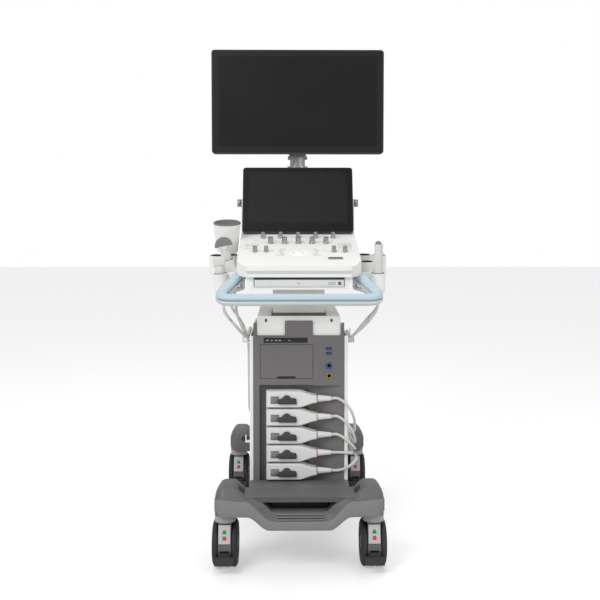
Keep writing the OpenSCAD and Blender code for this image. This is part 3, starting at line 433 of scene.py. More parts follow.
def edge_modifiers(piece, width, segments=2, angle=35):
    weld = piece.modifiers.new("Weld", "WELD")
    weld.merge_threshold = 0.00002
    bevel = piece.modifiers.new("Edges", "BEVEL")
    bevel.width = width
    bevel.segments = segments
    bevel.limit_method = "ANGLE"
    bevel.angle_limit = math.radians(angle)
    bevel.use_clamp_overlap = True
    bevel.harden_normals = True
    normals = piece.modifiers.new("Normals", "WEIGHTED_NORMAL")
    normals.keep_sharp = True


def piece_from(name, mesh, slot, body, material=None, bevel=0.0, smooth=True):
    """A new piece with its material, or its slot's finish when no material is given, that rides on a body."""
    piece = bpy.data.objects.new(name, mesh)
    bpy.context.scene.collection.objects.link(piece)
    mesh.materials.append(material or finish_of(slot))
    if smooth:
        for polygon in mesh.polygons:
            polygon.use_smooth = True
    if bevel:
        edge_modifiers(piece, bevel)
    if body:
        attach(piece, body)
    return piece


def mesh_of(name, build):
    """A mesh filled by a function that is given an empty bmesh."""
    work = bmesh.new()
    build(work)
    bmesh.ops.recalc_face_normals(work, faces=work.faces)
    mesh = bpy.data.meshes.new(name)
    work.to_mesh(mesh)
    work.free()
    return mesh


def add_lathe(work, profile, place, steps=32, squash=1.0):
    """Turn a profile of (radius, height) about the local Z of place. squash flattens it in local Y."""
    rings = []
    for radius, height in profile:
        if radius < 1e-6:
            rings.append([work.verts.new(place @ Vector((0.0, 0.0, height)))])
            continue
        rings.append([
            work.verts.new(place @ Vector((radius * math.cos(2 * math.pi * k / steps),
                                           squash * radius * math.sin(2 * math.pi * k / steps), height)))
            for k in range(steps)])
    for low, high in zip(rings, rings[1:]):
        for k in range(steps):
            after = (k + 1) % steps
            if len(low) == 1 and len(high) > 1:
                work.faces.new((low[0], high[k], high[after]))
            elif len(high) == 1 and len(low) > 1:
                work.faces.new((low[k], low[after], high[0]))
            elif len(low) > 1 and len(high) > 1:
                work.faces.new((low[k], low[after], high[after], high[k]))
    for ring in (rings[0], rings[-1]):
        if len(ring) > 2:
            work.faces.new(ring)


def rounded_outline(width, height, radius, steps=6):
    points = []
    for corner, (sx, sy) in enumerate(((1, 1), (-1, 1), (-1, -1), (1, -1))):
        for k in range(steps + 1):
            turn = math.pi / 2 * (corner + k / steps)
            points.append((sx * (width / 2 - radius) + radius * math.cos(turn),
                           sy * (height / 2 - radius) + radius * math.sin(turn)))
    return points


def add_loft(work, sections, place):
    """Join outlines, each a list of local points, into a closed solid."""
    rings = [[work.verts.new(place @ Vector(point)) for point in section] for section in sections]
    count = len(rings[0])
    for low, high in zip(rings, rings[1:]):
        for k in range(count):
            work.faces.new((low[k], low[(k + 1) % count], high[(k + 1) % count], high[k]))
    work.faces.new(rings[0])
    work.faces.new(rings[-1])


def add_pad(work, place, width, height, depth, radius, crown=0.0, round_over=0.0):
    """A rounded plate on the local XY plane, depth along +Z, with a rounded-over top edge."""
    sections = [[(x, y, 0.0) for x, y in rounded_outline(width, height, radius)]]
    if round_over:
        for k in range(4):
            turn = math.pi / 2 * k / 3
            inset = round_over * (1 - math.cos(turn))
            rise = depth - round_over * (1 - math.sin(turn))
            sections.append([(x, y, rise) for x, y in rounded_outline(
                width - 2 * inset, height - 2 * inset, max(radius - inset, 0.0002))])
    else:
        sections.append([(x, y, depth) for x, y in rounded_outline(width, height, radius)])
    if crown:
        sections.append([(x * 0.5, y * 0.5, depth + crown) for x, y in rounded_outline(width, height, radius)])
    add_loft(work, sections, place)


def facing(point, normal, up=(0.0, 0.0, 1.0)):
    """A frame at a point whose local Z is the normal and whose local Y leans towards up."""
    z = Vector(normal).normalized()
    x = Vector(up).cross(z).normalized()
    y = z.cross(x)
    turned = Matrix((x, y, z)).transposed().to_4x4()
    return Matrix.Translation(Vector(point)) @ turned


def smooth_path(points, steps):
    """A Catmull-Rom line through the points."""
    path = []
    ends = [points[0] * 2 - points[1], *points, points[-1] * 2 - points[-2]]
    for a, b, c, d in zip(ends, ends[1:], ends[2:], ends[3:]):
        for k in range(steps):
            t = k / steps
            path.append(0.5 * (2 * b + (c - a) * t + (2 * a - 5 * b + 4 * c - d) * t * t
                               + (3 * b - a - 3 * c + d) * t ** 3))
    path.append(points[-1])
    return path


def add_tube(work, path, radius, sides):
    """A closed tube whose rings turn no more than the path does."""
    radii = radius if isinstance(radius, list) else [radius] * len(path)
    rings = []
    side = None
    for k, point in enumerate(path):
        ahead = (path[min(k + 1, len(path) - 1)] - path[max(k - 1, 0)]).normalized()
        if side is None:
            side = ahead.orthogonal().normalized()
        side = (side - ahead * side.dot(ahead)).normalized()
        other = ahead.cross(side)
        rings.append([work.verts.new(point + radii[k] * (
            side * math.cos(2 * math.pi * n / sides) + other * math.sin(2 * math.pi * n / sides)))
            for n in range(sides)])
    for low, high in zip(rings, rings[1:]):
        for n in range(sides):
            work.faces.new((low[n], low[(n + 1) % sides], high[(n + 1) % sides], high[n]))
    work.faces.new(rings[0])
    work.faces.new(rings[-1])


# ---------------------------------------------------------------- cables

# each cable's route from its connector, along the hooks, to below its probe's cup
CABLE_ROUTES = (
    (
        (0.09, -0.232, 0.4275), (0.106, -0.232, 0.4275), (0.126, -0.2365, 0.416), (0.144, -0.236, 0.392),
        (0.154, -0.218, 0.36), (0.156, -0.176, 0.324), (0.149, -0.11, 0.304), (0.142, -0.02, 0.306),
        (0.141, 0.044, 0.35), (0.141, 0.076, 0.44), (0.141, 0.082, 0.53), (0.141, 0.058, 0.575),
        (0.141, -0.04, 0.5755), (0.142, -0.13, 0.577), (0.152, -0.168, 0.592), (0.186, -0.2, 0.628),
        (0.214, -0.21, 0.668), (0.216, -0.211, 0.6915),
    ),
    (
        (0.09, -0.232, 0.3775), (0.106, -0.232, 0.3775), (0.126, -0.2365, 0.365), (0.144, -0.236, 0.342),
        (0.154, -0.222, 0.316), (0.157, -0.186, 0.294), (0.152, -0.1, 0.286), (0.15, 0.0, 0.296),
        (0.15, 0.06, 0.35), (0.15, 0.092, 0.44), (0.15, 0.098, 0.53), (0.15, 0.06, 0.5755),
        (0.15, -0.04, 0.5755), (0.151, -0.13, 0.577), (0.154, -0.148, 0.588), (0.198, -0.134, 0.638),
        (0.224, -0.129, 0.668), (0.226, -0.1285, 0.6915),
    ),
    (
        (0.09, -0.232, 0.3275), (0.106, -0.232, 0.3275), (0.126, -0.2365, 0.317), (0.144, -0.236, 0.301),
        (0.154, -0.222, 0.287), (0.157, -0.18, 0.275), (0.152, -0.11, 0.268), (0.15, -0.02, 0.262),
        (0.15, 0.12, 0.262), (0.152, 0.182, 0.273), (0.147, 0.206, 0.284), (0.128, 0.214, 0.291),
        (0.096, 0.2105, 0.293), (0.0, 0.2105, 0.291), (-0.096, 0.2105, 0.293), (-0.128, 0.214, 0.297),
        (-0.143, 0.214, 0.306), (-0.148, 0.206, 0.33), (-0.147, 0.176, 0.41), (-0.146, 0.124, 0.53),
        (-0.145, 0.066, 0.5845), (-0.145, -0.04, 0.5845), (-0.1455, -0.13, 0.586), (-0.154, -0.158, 0.606),
        (-0.174, -0.15, 0.654), (-0.176, -0.149, 0.6915),
    ),
    (
        (0.09, -0.232, 0.2775), (0.106, -0.232, 0.2775), (0.126, -0.2365, 0.278), (0.144, -0.235, 0.276),
        (0.146, -0.214, 0.272), (0.144, -0.18, 0.264), (0.141, -0.11, 0.256), (0.141, 0.02, 0.252),
        (0.141, 0.12, 0.253), (0.143, 0.18, 0.262), (0.144, 0.198, 0.27), (0.134, 0.21, 0.278),
        (0.096, 0.206, 0.2845), (0.0, 0.205, 0.282), (-0.096, 0.206, 0.285), (-0.134, 0.21, 0.29),
        (-0.146, 0.196, 0.3), (-0.141, 0.16, 0.35), (-0.141, 0.12, 0.43), (-0.141, 0.084, 0.52),
        (-0.141, 0.056, 0.5755), (-0.141, -0.04, 0.5755), (-0.1415, -0.13, 0.577), (-0.16, -0.172, 0.602),
        (-0.202, -0.208, 0.66), (-0.2055, -0.2105, 0.6915),
    ),
    (
        (0.09, -0.232, 0.2275), (0.106, -0.232, 0.2275), (0.128, -0.237, 0.234), (0.147, -0.238, 0.247),
        (0.158, -0.226, 0.257), (0.159, -0.19, 0.259), (0.153, -0.13, 0.255), (0.15, 0.02, 0.252),
        (0.15, 0.12, 0.253), (0.154, 0.192, 0.264), (0.15, 0.218, 0.273), (0.13, 0.221, 0.281),
        (0.096, 0.2155, 0.2845), (0.0, 0.214, 0.282), (-0.096, 0.2155, 0.285), (-0.13, 0.22, 0.288),
        (-0.148, 0.216, 0.294), (-0.154, 0.198, 0.312), (-0.153, 0.156, 0.4), (-0.152, 0.1, 0.52),
        (-0.157, 0.07, 0.568), (-0.172, 0.042, 0.608), (-0.201, 0.028, 0.656), (-0.205, 0.026, 0.6915),
    ),
)
# the probe at each cable's end
CABLE_PROBE = (4, 5, 1, 2, 3)
# each probe's cup: x, y and height of its rim, and its tilt about Y and X in degrees
CUPS = (
    (-0.200, -0.165, 0.8045, -12, 8), (-0.214, -0.222, 0.7715, -6, 8), (-0.205, 0.026, 0.8285, 0, 0),
    (0.216, -0.222, 0.7715, 0, 8), (0.226, -0.146, 0.8165, 0, 8),
)
CUP_DEPTH = 0.052
LIFT_FROM = 0.592
TURN_FROM = 0.640


def cup_place(index):
    x, y, z, about_y, about_x = CUPS[index]
    return (Matrix.Translation((x, y, z)) @ Matrix.Rotation(math.radians(about_y), 4, "Y")
            @ Matrix.Rotation(math.radians(about_x), 4, "X"))


def cable_piece(name, path, material=None):
    sizes = bpy.context.scene.cart_sizes
    mesh = mesh_of(name, lambda work: add_tube(work, path, sizes.cable_diameter / 2, sizes.cable_sides))
    piece = piece_from(name, mesh, "cable_grey", None, material)
    return piece


class ULTRASOUND_OT_cables(bpy.types.Operator):
    """Lay the five probe cables from their connectors, over the hooks, to the probes"""

    bl_idname = "ultrasound.cables"
    bl_label = "Probe Cables"

    def execute(self, context):
        for index, route in enumerate(CABLE_ROUTES):
            path = smooth_path([Vector(point) for point in route], 5)
            low = max(k for k in range(len(path)) if path[k].z < LIFT_FROM)
            high = max(k for k in range(len(path)) if path[k].z < TURN_FROM)
            name = f"cable_{index + 1}"
            lower = cable_piece(f"{name}_lower", path[:low + 1])
            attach(lower, "root")
            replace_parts(lower, f"probe_cable_{index + 1}")
            rise = cable_piece(f"{name}_rise", path[low:high + 1])
            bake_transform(rise)
            turn = cable_piece(f"{name}_turn", path[high:])
            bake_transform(turn)
            probe = CABLE_PROBE[index]
            place = cup_place(probe - 1)
            down = place.to_3x3() @ Vector((0.0, 0.0, -1.0))
            start = place @ Vector((0.0, 0.0, -0.012))
            reach = (start.z - path[-1].z) / -down.z
            foot = start + down * reach
            tail = [foot + (start - foot) * k / 16 for k in range(17)]
            last = cable_piece(f"{name}_tail", tail)
            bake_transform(last)
        return {"FINISHED"}


# ---------------------------------------------------------------- probes

PROBE_GRIPS = {
    "convex": [(0.0040, -0.078), (0.0062, -0.076), (0.0075, -0.056), (0.0120, -0.046), (0.0140, -0.020),
               (0.0150, 0.0), (0.0146, 0.012), (0.0120, 0.022), (0.0122, 0.030), (0.0165, 0.041), (0.0, 0.041)],
    "linear": [(0.0040, -0.078), (0.0062, -0.076), (0.0075, -0.056), (0.0120, -0.046), (0.0150, 0.0),
               (0.0140, 0.010), (0.0112, 0.020), (0.0, 0.020)],
    "slim": [(0.0040, -0.078), (0.0062, -0.076), (0.0075, -0.056), (0.0120, -0.046), (0.0150, 0.0),
             (0.0130, 0.008), (0.0102, 0.016), (0.0, 0.016)],
    "wand": [(0.0040, -0.078), (0.0062, -0.076), (0.0075, -0.056), (0.0120, -0.046), (0.0148, 0.0),
             (0.0150, 0.020), (0.0142, 0.040), (0.0125, 0.052), (0.0092, 0.061), (0.0088, 0.080), (0.0, 0.080)],
}
PROBE_KINDS = ("convex", "linear", "slim", "wand", "slim")


def add_head(work, place, kind):
    """The part of the probe that touches the patient."""
    if kind == "convex":
        sections = []
        for k in range(9):
            turn = math.pi / 2 * k / 8
            rise = 0.040 + 0.0255 * math.sin(turn)
            half = 0.0245 * math.cos(turn) + 0.0006
            sections.append([(x, y, rise) for x, y in rounded_outline(2 * half, 0.0165 - 0.004 * (k / 8) ** 2,
                                                                      min(half, 0.0055), 4)])
        add_loft(work, sections, place)
    elif kind in ("linear", "slim"):
        width, depth, low, high = (0.033, 0.0155, 0.0185, 0.0435) if kind == "linear" else (0.0235, 0.0135, 0.0155, 0.0345)
        sections = []
        for rise, shrink in ((low, 0.003), (low + 0.004, 0.0), (high - 0.004, 0.0), (high - 0.0012, 0.0008),
                             (high, 0.0030)):
            sections.append([(x, y, rise) for x, y in rounded_outline(width - 2 * shrink, depth - 2 * shrink,
                                                                      0.0035, 4)])
        add_loft(work, sections, place)
    else:
        profile = [(0.0086, 0.078)] + [(0.0086 * math.cos(math.pi / 2 * k / 6), 0.080 + 0.0086 * math.sin(math.pi / 2 * k / 6))
                                       for k in range(7)]
        add_lathe(work, profile, place, 28)


class ULTRASOUND_OT_probes(bpy.types.Operator):
    """Make the five probes that stand in the console's cups"""

    bl_idname = "ultrasound.probes"
    bl_label = "Probes"

    def execute(self, context):
        face = moulded("probe_face", (0.20, 0.205, 0.21), 0.42, 0.04, 0.2)
        relief = moulded("strain_relief", (0.30, 0.30, 0.30), 0.55, 0.05, 0.5)
        for index, kind in enumerate(PROBE_KINDS):
            place = cup_place(index)
            node = f"probe_{index + 1}"
            profile = PROBE_GRIPS[kind]
            grip = piece_from(f"{node}_grip", mesh_of(f"{node}_grip", lambda work: add_lathe(work, profile[3:], place, 36)),
                              "probe_body", node)
            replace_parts(grip, node)
            boot = [(radius * (1.06 if k % 2 else 0.94), height) for k, (radius, height) in enumerate(
                (0.0042 + 0.0034 * step / 9, -0.078 + 0.034 * step / 9) for step in range(10))]
            piece_from(f"{node}_boot", mesh_of(f"{node}_boot", lambda work: add_lathe(work, boot, place, 20)),
                       "cable_grey", node, relief)
            piece_from(f"{node}_face", mesh_of(f"{node}_face", lambda work: add_head(work, place, kind)),
                       "probe_body", node, face if kind in ("convex", "wand") else None, 0.0008)
            ridge = [(0.0153, -0.001), (0.0153, 0.001), (0.0145, 0.0014), (0.0145, -0.0014)]
            piece_from(f"{node}_ring", mesh_of(f"{node}_ring", lambda work: add_lathe(work, ridge, place, 32)),
                       "probe_body", node, face)
        return {"FINISHED"}


# ---------------------------------------------------------------- finishes of the CAD parts

SHARP_NODES = ("console_deck", "monitor_glass", "touch_glass", "trackball")
FINE_NODES = ("ports_and_sockets", "deck_keys", "keyboard_drawer", "freeze_button", "trackball_cage",
              "probe_connectors", "rear_panel", "printer_door", "monitor_neck", "arm_lower", "arm_upper")


class ULTRASOUND_OT_finishes(bpy.types.Operator):
    """Give every CAD part its finish and its rounded edges"""

    bl_idname = "ultrasound.finishes"
    bl_label = "Part Finishes"

    def execute(self, context):
        sizes = context.scene.cart_sizes
        for node in frame["nodes"]:
            part = bpy.data.objects[node]
            part.data.materials.clear()
            part.data.materials.append(self.glass(node, sizes) or finish_of(SLOT_OF[node]))
            if node in SHARP_NODES or node.startswith("probe_cable"):
                continue
            fine = node in FINE_NODES or node.startswith(("lock_lever", "probe_", "mode_knob", "menu_knob"))
            edge_modifiers(part, 0.0008 if fine else sizes.edge_radius, 2)
        self.touch_knobs()
        return {"FINISHED"}

    def glass(self, node, sizes):
        if node == "monitor_glass":
            return screen("display_screen", (0.013, 0.013, 0.014), (0.0060, 0.0060, 0.0062), (0.0, 0.0, 1.2705),
                          (sizes.display_width / 2, 1.0, 0.1345))
        if node == "touch_glass":
            return screen("touch_screen", (0.0035, 0.0035, 0.0045), (0.0105, 0.0105, 0.0108), (0.0, 0.0, 0.9830),
                          (sizes.touch_width / 2, 1.0, 0.0775))
        return None

    def touch_knobs(self):
        grey = machined("touch_knob", (0.36, 0.36, 0.36), 0.35)
        side_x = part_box("touch_panel")[1].x
        profile = [(0.0104, -0.0125), (0.0117, -0.0118), (0.0117, -0.0030), (0.0108, -0.0008), (0.0090, 0.0),
                   (0.0080, -0.0010), (0.0, -0.0010)]

        def build(work):
            for side in (-1, 1):
                place = (Matrix.Translation((side * side_x, 0.0480, 0.96604))
                         @ Matrix.Rotation(side * math.pi / 2, 4, "Y"))
                add_lathe(work, profile, place, 36)

        piece_from("touch_knobs", mesh_of("touch_knobs", build), "knob_silver", "touch_panel", grey)


# ---------------------------------------------------------------- base

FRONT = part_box("base_cover")[0].y
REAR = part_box("base_cover")[1].y
BAR_DEPTH = 0.100
STEP_Z = 0.1155
COVER_Z = 0.1505


def ease(value, low, high):
    t = min(max((value - low) / (high - low), 0.0), 1.0)
    return t * t * (3 - 2 * t)


def cover_bottom(x, dip):
    low = COVER_Z - (COVER_Z - STEP_Z) * dip * (1 - ease(x, 0.078, 0.136))
    return low + 0.013 * ease(x, 0.205, 0.220)


def cover_top(x):
    return 0.2015 + 0.024 * ease(x, 0.140, 0.172) - 0.004 * ease(x, 0.196, 0.208) - 0.022 * ease(x, 0.207, 0.220)


def band_top(x, dip):
    return 0.1905 - 0.051 * dip * (1 - ease(x, 0.070, 0.140)) + 0.004 * ease(x, 0.150, 0.205)


def add_cover_body(work, front, back, dip):
    """A cross cover lofted over its width, with its top falling away to the front edge. dip 1 has the foot step."""
    sign = 1 if back > front else -1
    rows = []
    for k in range(61):
        x = -0.2198 + 0.4396 * k / 60
        side = abs(x)
        bottom, band, top = cover_bottom(side, dip), band_top(side, dip), cover_top(side)
        round_in = 0.010 * ease(side, 0.200, 0.220)
        f = front + sign * round_in
        b = back - sign * round_in
        rows.append([
            (x, f + sign * 0.008, bottom + 0.003), (x, f + sign * 0.006, bottom + 0.008),
            (x, f + sign * 0.006, band - 0.003), (x, f + sign * 0.008, band + 0.002),
            (x, f + sign * 0.018, min(band + 0.012, top - 0.009)), (x, f + sign * 0.024, top - 0.004),
            (x, f + sign * 0.034, top), (x, b - sign * 0.006, top), (x, b, top - 0.006),
            (x, b, bottom + 0.006), (x, b - sign * 0.006, bottom + 0.001)])
    add_loft(work, rows, Matrix())


def add_band(work, front, sign, dip):
    """The band that sweeps from corner to corner under the foot step, in the cover's plain grey; it looks lighter than
    the body, which carries a painted shade.
    """
    rows = []
    for k in range(81):
        x = -0.2200 + 0.4400 * k / 80
        side = abs(x)
        bottom, band = cover_bottom(side, dip), band_top(side, dip)
        f = front + sign * 0.010 * ease(side, 0.198, 0.220)
        back = f + sign * 0.020
        rows.append([(x, back, bottom), (x, f + sign * 0.003, bottom), (x, f + sign * 0.0008, bottom + 0.0015),
                     (x, f, bottom + 0.004), (x, f, band - 0.004), (x, f + sign * 0.0010, band - 0.0014),
                     (x, f + sign * 0.004, band), (x, back, band + 0.001)])
    add_loft(work, rows, Matrix())


def add_prism(work, outline, y0, y1):
    """An outline in XZ between two values of y."""
    add_loft(work, [[(x, y, z) for x, z in outline] for y in (y0, y1)], Matrix())


def cut_through(piece, cutter_mesh):
    """Cut a piece with a mesh and keep only the result."""
    cutter = bpy.data.objects.new("cutter", cutter_mesh)
    bpy.context.scene.collection.objects.link(cutter)
    cut = piece.modifiers.new("Cut", "BOOLEAN")
    cut.operation = "DIFFERENCE"
    cut.solver = "EXACT"
    cut.object = cutter
    bpy.context.view_layer.update()
    result = bpy.data.meshes.new_from_object(piece.evaluated_get(bpy.context.evaluated_depsgraph_get()))
    piece.modifiers.remove(cut)
    piece.data = result
    bpy.data.objects.remove(cutter)


class ULTRASOUND_OT_base(bpy.types.Operator):
    """Make the moulded base cover with its foot step, grille and corner pads, with painted shade on the cover body and
    in its recesses
    """

    bl_idname = "ultrasound.base"
    bl_label = "Base Cover"

    def execute(self, context):
        # Painted shade: a darker copy of the cover's grey for the cover body and aprons; the bands and ribs keep the
        # plain grey.
        painted_shade_grey = moulded("base_shade", tuple(c * 0.62 for c in context.scene.cart_colours.base_grey), 0.5, 0.05, 0.7)
        # Black for the grille's mesh, and painted shade behind the mesh, in the pad pockets and in the rear notches.
        black_and_painted_shade = moulded("base_dark", (0.03, 0.03, 0.032), 0.55, 0.05, 0.6)
        front = piece_from("base_front", mesh_of("base_front", lambda work: add_cover_body(
            work, FRONT, FRONT + BAR_DEPTH, 1.0)), "base_grey", None, painted_shade_grey)
        window = mesh_of("window", lambda work: add_prism(
            work, [(-0.098, 0.1842), (0.098, 0.1842), (0.073, 0.1600), (-0.073, 0.1600)], FRONT - 0.01,
            FRONT + BAR_DEPTH + 0.01))
        cut_through(front, window)
        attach(front, "root")
        edge_modifiers(front, 0.0012, 2, 40)
        rear = piece_from("base_rear", mesh_of("base_rear", lambda work: add_cover_body(
            work, REAR, REAR - BAR_DEPTH - 0.020, 0.0)), "base_grey", "root", painted_shade_grey)
        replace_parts(front, "base_cover")
        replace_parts(rear, "base_cover")
        piece_from("base_band", mesh_of("base_band", lambda work: add_band(work, FRONT, 1, 1.0)),
                   "base_grey", "root")
        piece_from("base_rear_band", mesh_of("base_rear_band", lambda work: add_band(work, REAR, -1, 0.0)),
                   "base_grey", "root")
        self.aprons(painted_shade_grey)
        self.step(painted_shade_grey, black_and_painted_shade)
        return {"FINISHED"}

    def aprons(self, painted_shade_grey):
        def build(work):
            for y0, y1 in ((FRONT + BAR_DEPTH - 0.002, -0.2303), (0.2003, REAR - BAR_DEPTH - 0.018)):
                add_pad(work, Matrix.Translation((0.0, (y0 + y1) / 2, 0.1795)), 0.270, y1 - y0, 0.022, 0.004, 0.0, 0.003)

        piece_from("base_aprons", mesh_of("base_aprons", build), "base_grey", "root", painted_shade_grey)

    def step(self, painted_shade_grey, black_and_painted_shade):
        def ribs(work):
            for k in range(3):
                place = facing((0.0, FRONT + 0.0052 + 0.0034 * k, 0.1425 + 0.0062 * k), (0.0, -0.80, 0.60))
                add_pad(work, place, 0.128 - 0.004 * k, 0.0030, 0.0022, 0.0014, 0.0, 0.0010)

        def grille(work):
            for k in range(37):
                add_pad(work, facing((-0.072 + 0.004 * k, FRONT + 0.050, 0.1722), (0.0, -1.0, 0.0)),
                        0.0016, 0.0245, 0.0020, 0.0007)
            for k in range(5):
                add_pad(work, facing((0.0, FRONT + 0.0515, 0.1625 + 0.0048 * k), (0.0, -1.0, 0.0)),
                        0.146, 0.0012, 0.0016, 0.0005)
            # Painted shade: a dark plate behind the mesh fills the window.
            add_pad(work, facing((0.0, FRONT + 0.058, 0.1722), (0.0, -1.0, 0.0)), 0.146, 0.0250, 0.0030, 0.001)

        # Painted shade: dark pads in the pockets on the corner pads.
        def pocket_shade(work):
            for side in (-1, 1):
                place = facing((side * 0.1525, FRONT + 0.052, 0.2108), (-side * 0.60, 0.0, 0.80), (0.0, 1.0, 0.0))
                add_pad(work, place, 0.020, 0.034, 0.0012, 0.004, 0.0, 0.0005)

        # Painted shade: dark pads in the rear cover's notches.
        def ends(work):
            for side in (-1, 1):
                place = facing((side * 0.168, REAR - BAR_DEPTH - 0.0205, 0.196), (0.0, -1.0, 0.0))
                add_pad(work, place, 0.030, 0.014, 0.0012, 0.004, 0.0, 0.0005)

        piece_from("step_ribs", mesh_of("step_ribs", ribs), "base_grey", "root")
        piece_from("step_grille_and_shade", mesh_of("step_grille_and_shade", grille), "base_grey", "root", black_and_painted_shade)
        piece_from("pad_pocket_shade", mesh_of("pad_pocket_shade", pocket_shade), "base_grey", "root", black_and_painted_shade)
        piece_from("rear_notch_shade", mesh_of("rear_notch_shade", ends), "base_grey", "root", black_and_painted_shade)


# ---------------------------------------------------------------- casters

CASTERS = (("fl", -0.195, -0.345), ("fr", 0.195, -0.345), ("rl", -0.195, 0.320), ("rr", 0.195, 0.320))
TRAIL = 0.020
AXLE_Z = 0.0625
FORK_HALF = 0.017
TYRE = ((0.0075, 0.0006), (0.0540, 0.0006), (0.0595, 0.0018), (0.0618, 0.0038), (0.0625, 0.0064), (0.0622, 0.0090),
        (0.0600, 0.0122), (0.0560, 0.0150), (0.0505, 0.0165), (0.0480, 0.0163), (0.0470, 0.0150))
HUB = ((0.0472, 0.0120), (0.0472, 0.0152), (0.0450, 0.0158), (0.0400, 0.0140), (0.0200, 0.0134), (0.0160, 0.0152),
       (0.0100, 0.0166), (0.0, 0.0168))


def wheel_sides(x, y, profile):
    """The profile turned about X on both sides of a fork."""
    def build(work):
        for side in (-1, 1):
            place = (Matrix.Translation((x + side * FORK_HALF, y + TRAIL, AXLE_Z))
                     @ Matrix.Rotation(side * math.pi / 2, 4, "Y"))
            add_lathe(work, profile, place, 56)
    return build


class ULTRASOUND_OT_casters(bpy.types.Operator):
    """Make the tyres, hubs, collars and brake plates of the four twin casters"""

    bl_idname = "ultrasound.casters"
    bl_label = "Casters"

    def execute(self, context):
        pale = moulded("brake_plate", (0.52, 0.52, 0.51), 0.4, 0.03, 0.4)
        collar = moulded("collar_grey", (0.34, 0.34, 0.335), 0.36, 0.05, 0.4)
        green = moulded("mark_green", (0.02, 0.30, 0.08), 0.4, 0.03, 0.1)
        red = moulded("mark_red", (0.62, 0.05, 0.03), 0.4, 0.03, 0.1)
        tip = machined("pedal_tip", (0.55, 0.55, 0.54), 0.3)
        for name, x, y in CASTERS:
            fork, wheels, pedal = (f"{name}_{part}" for part in ("fork", "wheels", "pedal"))
            tyres = piece_from(f"{name}_tyres", mesh_of(f"{name}_tyres", wheel_sides(x, y, TYRE)), "tyre_black", wheels)
            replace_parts(tyres, f"caster_{name}_wheels")
            piece_from(f"{name}_hubs", mesh_of(f"{name}_hubs", wheel_sides(x, y, HUB)), "fork_grey", wheels)
            place = Matrix.Translation((x, y, 0.0))
            ring = [(0.0262, 0.1272), (0.0272, 0.1290), (0.0272, 0.1440), (0.0262, 0.1462), (0.0235, 0.1496)]
            piece_from(f"{name}_collar", mesh_of(f"{name}_collar", lambda work: add_lathe(work, ring, place, 40)),
                       "fork_grey", fork, collar)
            plane = facing((x, y - 0.0305, 0.1000), (0.0, -0.962, 0.273))

            def on_plate(up):
                return plane @ Matrix.Translation((0.0, up, 0.0020))

            def plate(work):
                add_pad(work, plane @ Matrix.Translation((0.0, 0.0, -0.0060)), 0.0310, 0.0480, 0.0082, 0.002, 0.0, 0.001)

            def walk(work):
                add_pad(work, on_plate(0.0070), 0.0090, 0.0090, 0.0008, 0.0044)
                add_pad(work, on_plate(0.0030), 0.0115, 0.0030, 0.0008, 0.0012)

            def stop(work):
                add_pad(work, on_plate(-0.0060), 0.0090, 0.0032, 0.0008, 0.0010)
                add_pad(work, on_plate(-0.0112), 0.0105, 0.0060, 0.0008, 0.0016)

            piece_from(f"{name}_plate", mesh_of(f"{name}_plate", plate), "fork_grey", fork, pale)
            piece_from(f"{name}_walk", mesh_of(f"{name}_walk", walk), "fork_grey", fork, green)
            piece_from(f"{name}_stop", mesh_of(f"{name}_stop", stop), "fork_grey", fork, red)
            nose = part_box(f"caster_{name}_pedal")[0].y

            def tips(work):
                for side in (-1, 1):
                    add_pad(work, facing((x + side * 0.009, nose + 0.0090, 0.0270), (0.0, 0.0, -1.0), (0.0, 1.0, 0.0)),
                            0.0140, 0.0150, 0.0048, 0.0030, 0.0, 0.0015)

            piece_from(f"{name}_tips", mesh_of(f"{name}_tips", tips), "pedal_dark", pedal, tip)
        return {"FINISHED"}


# ---------------------------------------------------------------- console

SLOPE = math.radians(14.4)
DECK_Y = -0.310
DECK_Z = 0.7955
DECK_NORMAL = Vector((0.0, -math.sin(SLOPE), math.cos(SLOPE)))
BALL_Y = -0.195
MODE_KNOBS = [(0.0395 * k, -0.102) for k in range(-2, 3)]
MENU_KNOBS = [(0.051 * k, -0.047, 0.016) for k in range(-2, 3)] + [
    (x, -0.183, 0.014) for x in (-0.121, -0.090, 0.098, 0.129)]
GEL = (-0.206, -0.048, 0.8245)
GEL_HEIGHT = 0.084
EMPTY_CUPS = ((-0.230, -0.138, 0.8165, 0, 8), (-0.190, -0.112, 0.8165, 0, 8), (0.190, -0.096, 0.8165, 0, 8),
              (0.190, -0.170, 0.8005, 0, 8))


def on_deck(x, y, lift=0.0):
    """A frame on the sloped deck: local Z is the deck's normal, local Y points up the slope."""
    point = Vector((x, y, DECK_Z + (y - DECK_Y) * math.tan(SLOPE))) + DECK_NORMAL * lift
    return facing(point, DECK_NORMAL, (0.0, 0.0, 1.0))


def add_ribbed_knob(work, place, radius, height, ribs=22):
    """A knob with a plain skirt, fluted sides and a dished cap."""
    levels = [(1.0, 0.0), (1.0, 0.10), (0.97, 0.14), (0.90, 0.18), (0.88, 0.22), (0.86, 0.88), (0.80, 0.97),
              (0.72, 1.0), (0.60, 0.985)]
    steps = ribs * 4
    rings = []
    for share, rise in levels:
        fluted = 0.22 <= rise <= 0.9
        ring = []
        for k in range(steps):
            turn = 2 * math.pi * k / steps
            depth = 0.05 * (0.5 + 0.5 * math.cos(ribs * turn)) if fluted else 0.0
            r = radius * (share - depth)
            ring.append(work.verts.new(place @ Vector((r * math.cos(turn), r * math.sin(turn), rise * height))))
        rings.append(ring)
    for low, high in zip(rings, rings[1:]):
        for k in range(steps):
            work.faces.new((low[k], low[(k + 1) % steps], high[(k + 1) % steps], high[k]))
    work.faces.new(rings[0])
    work.faces.new(rings[-1])


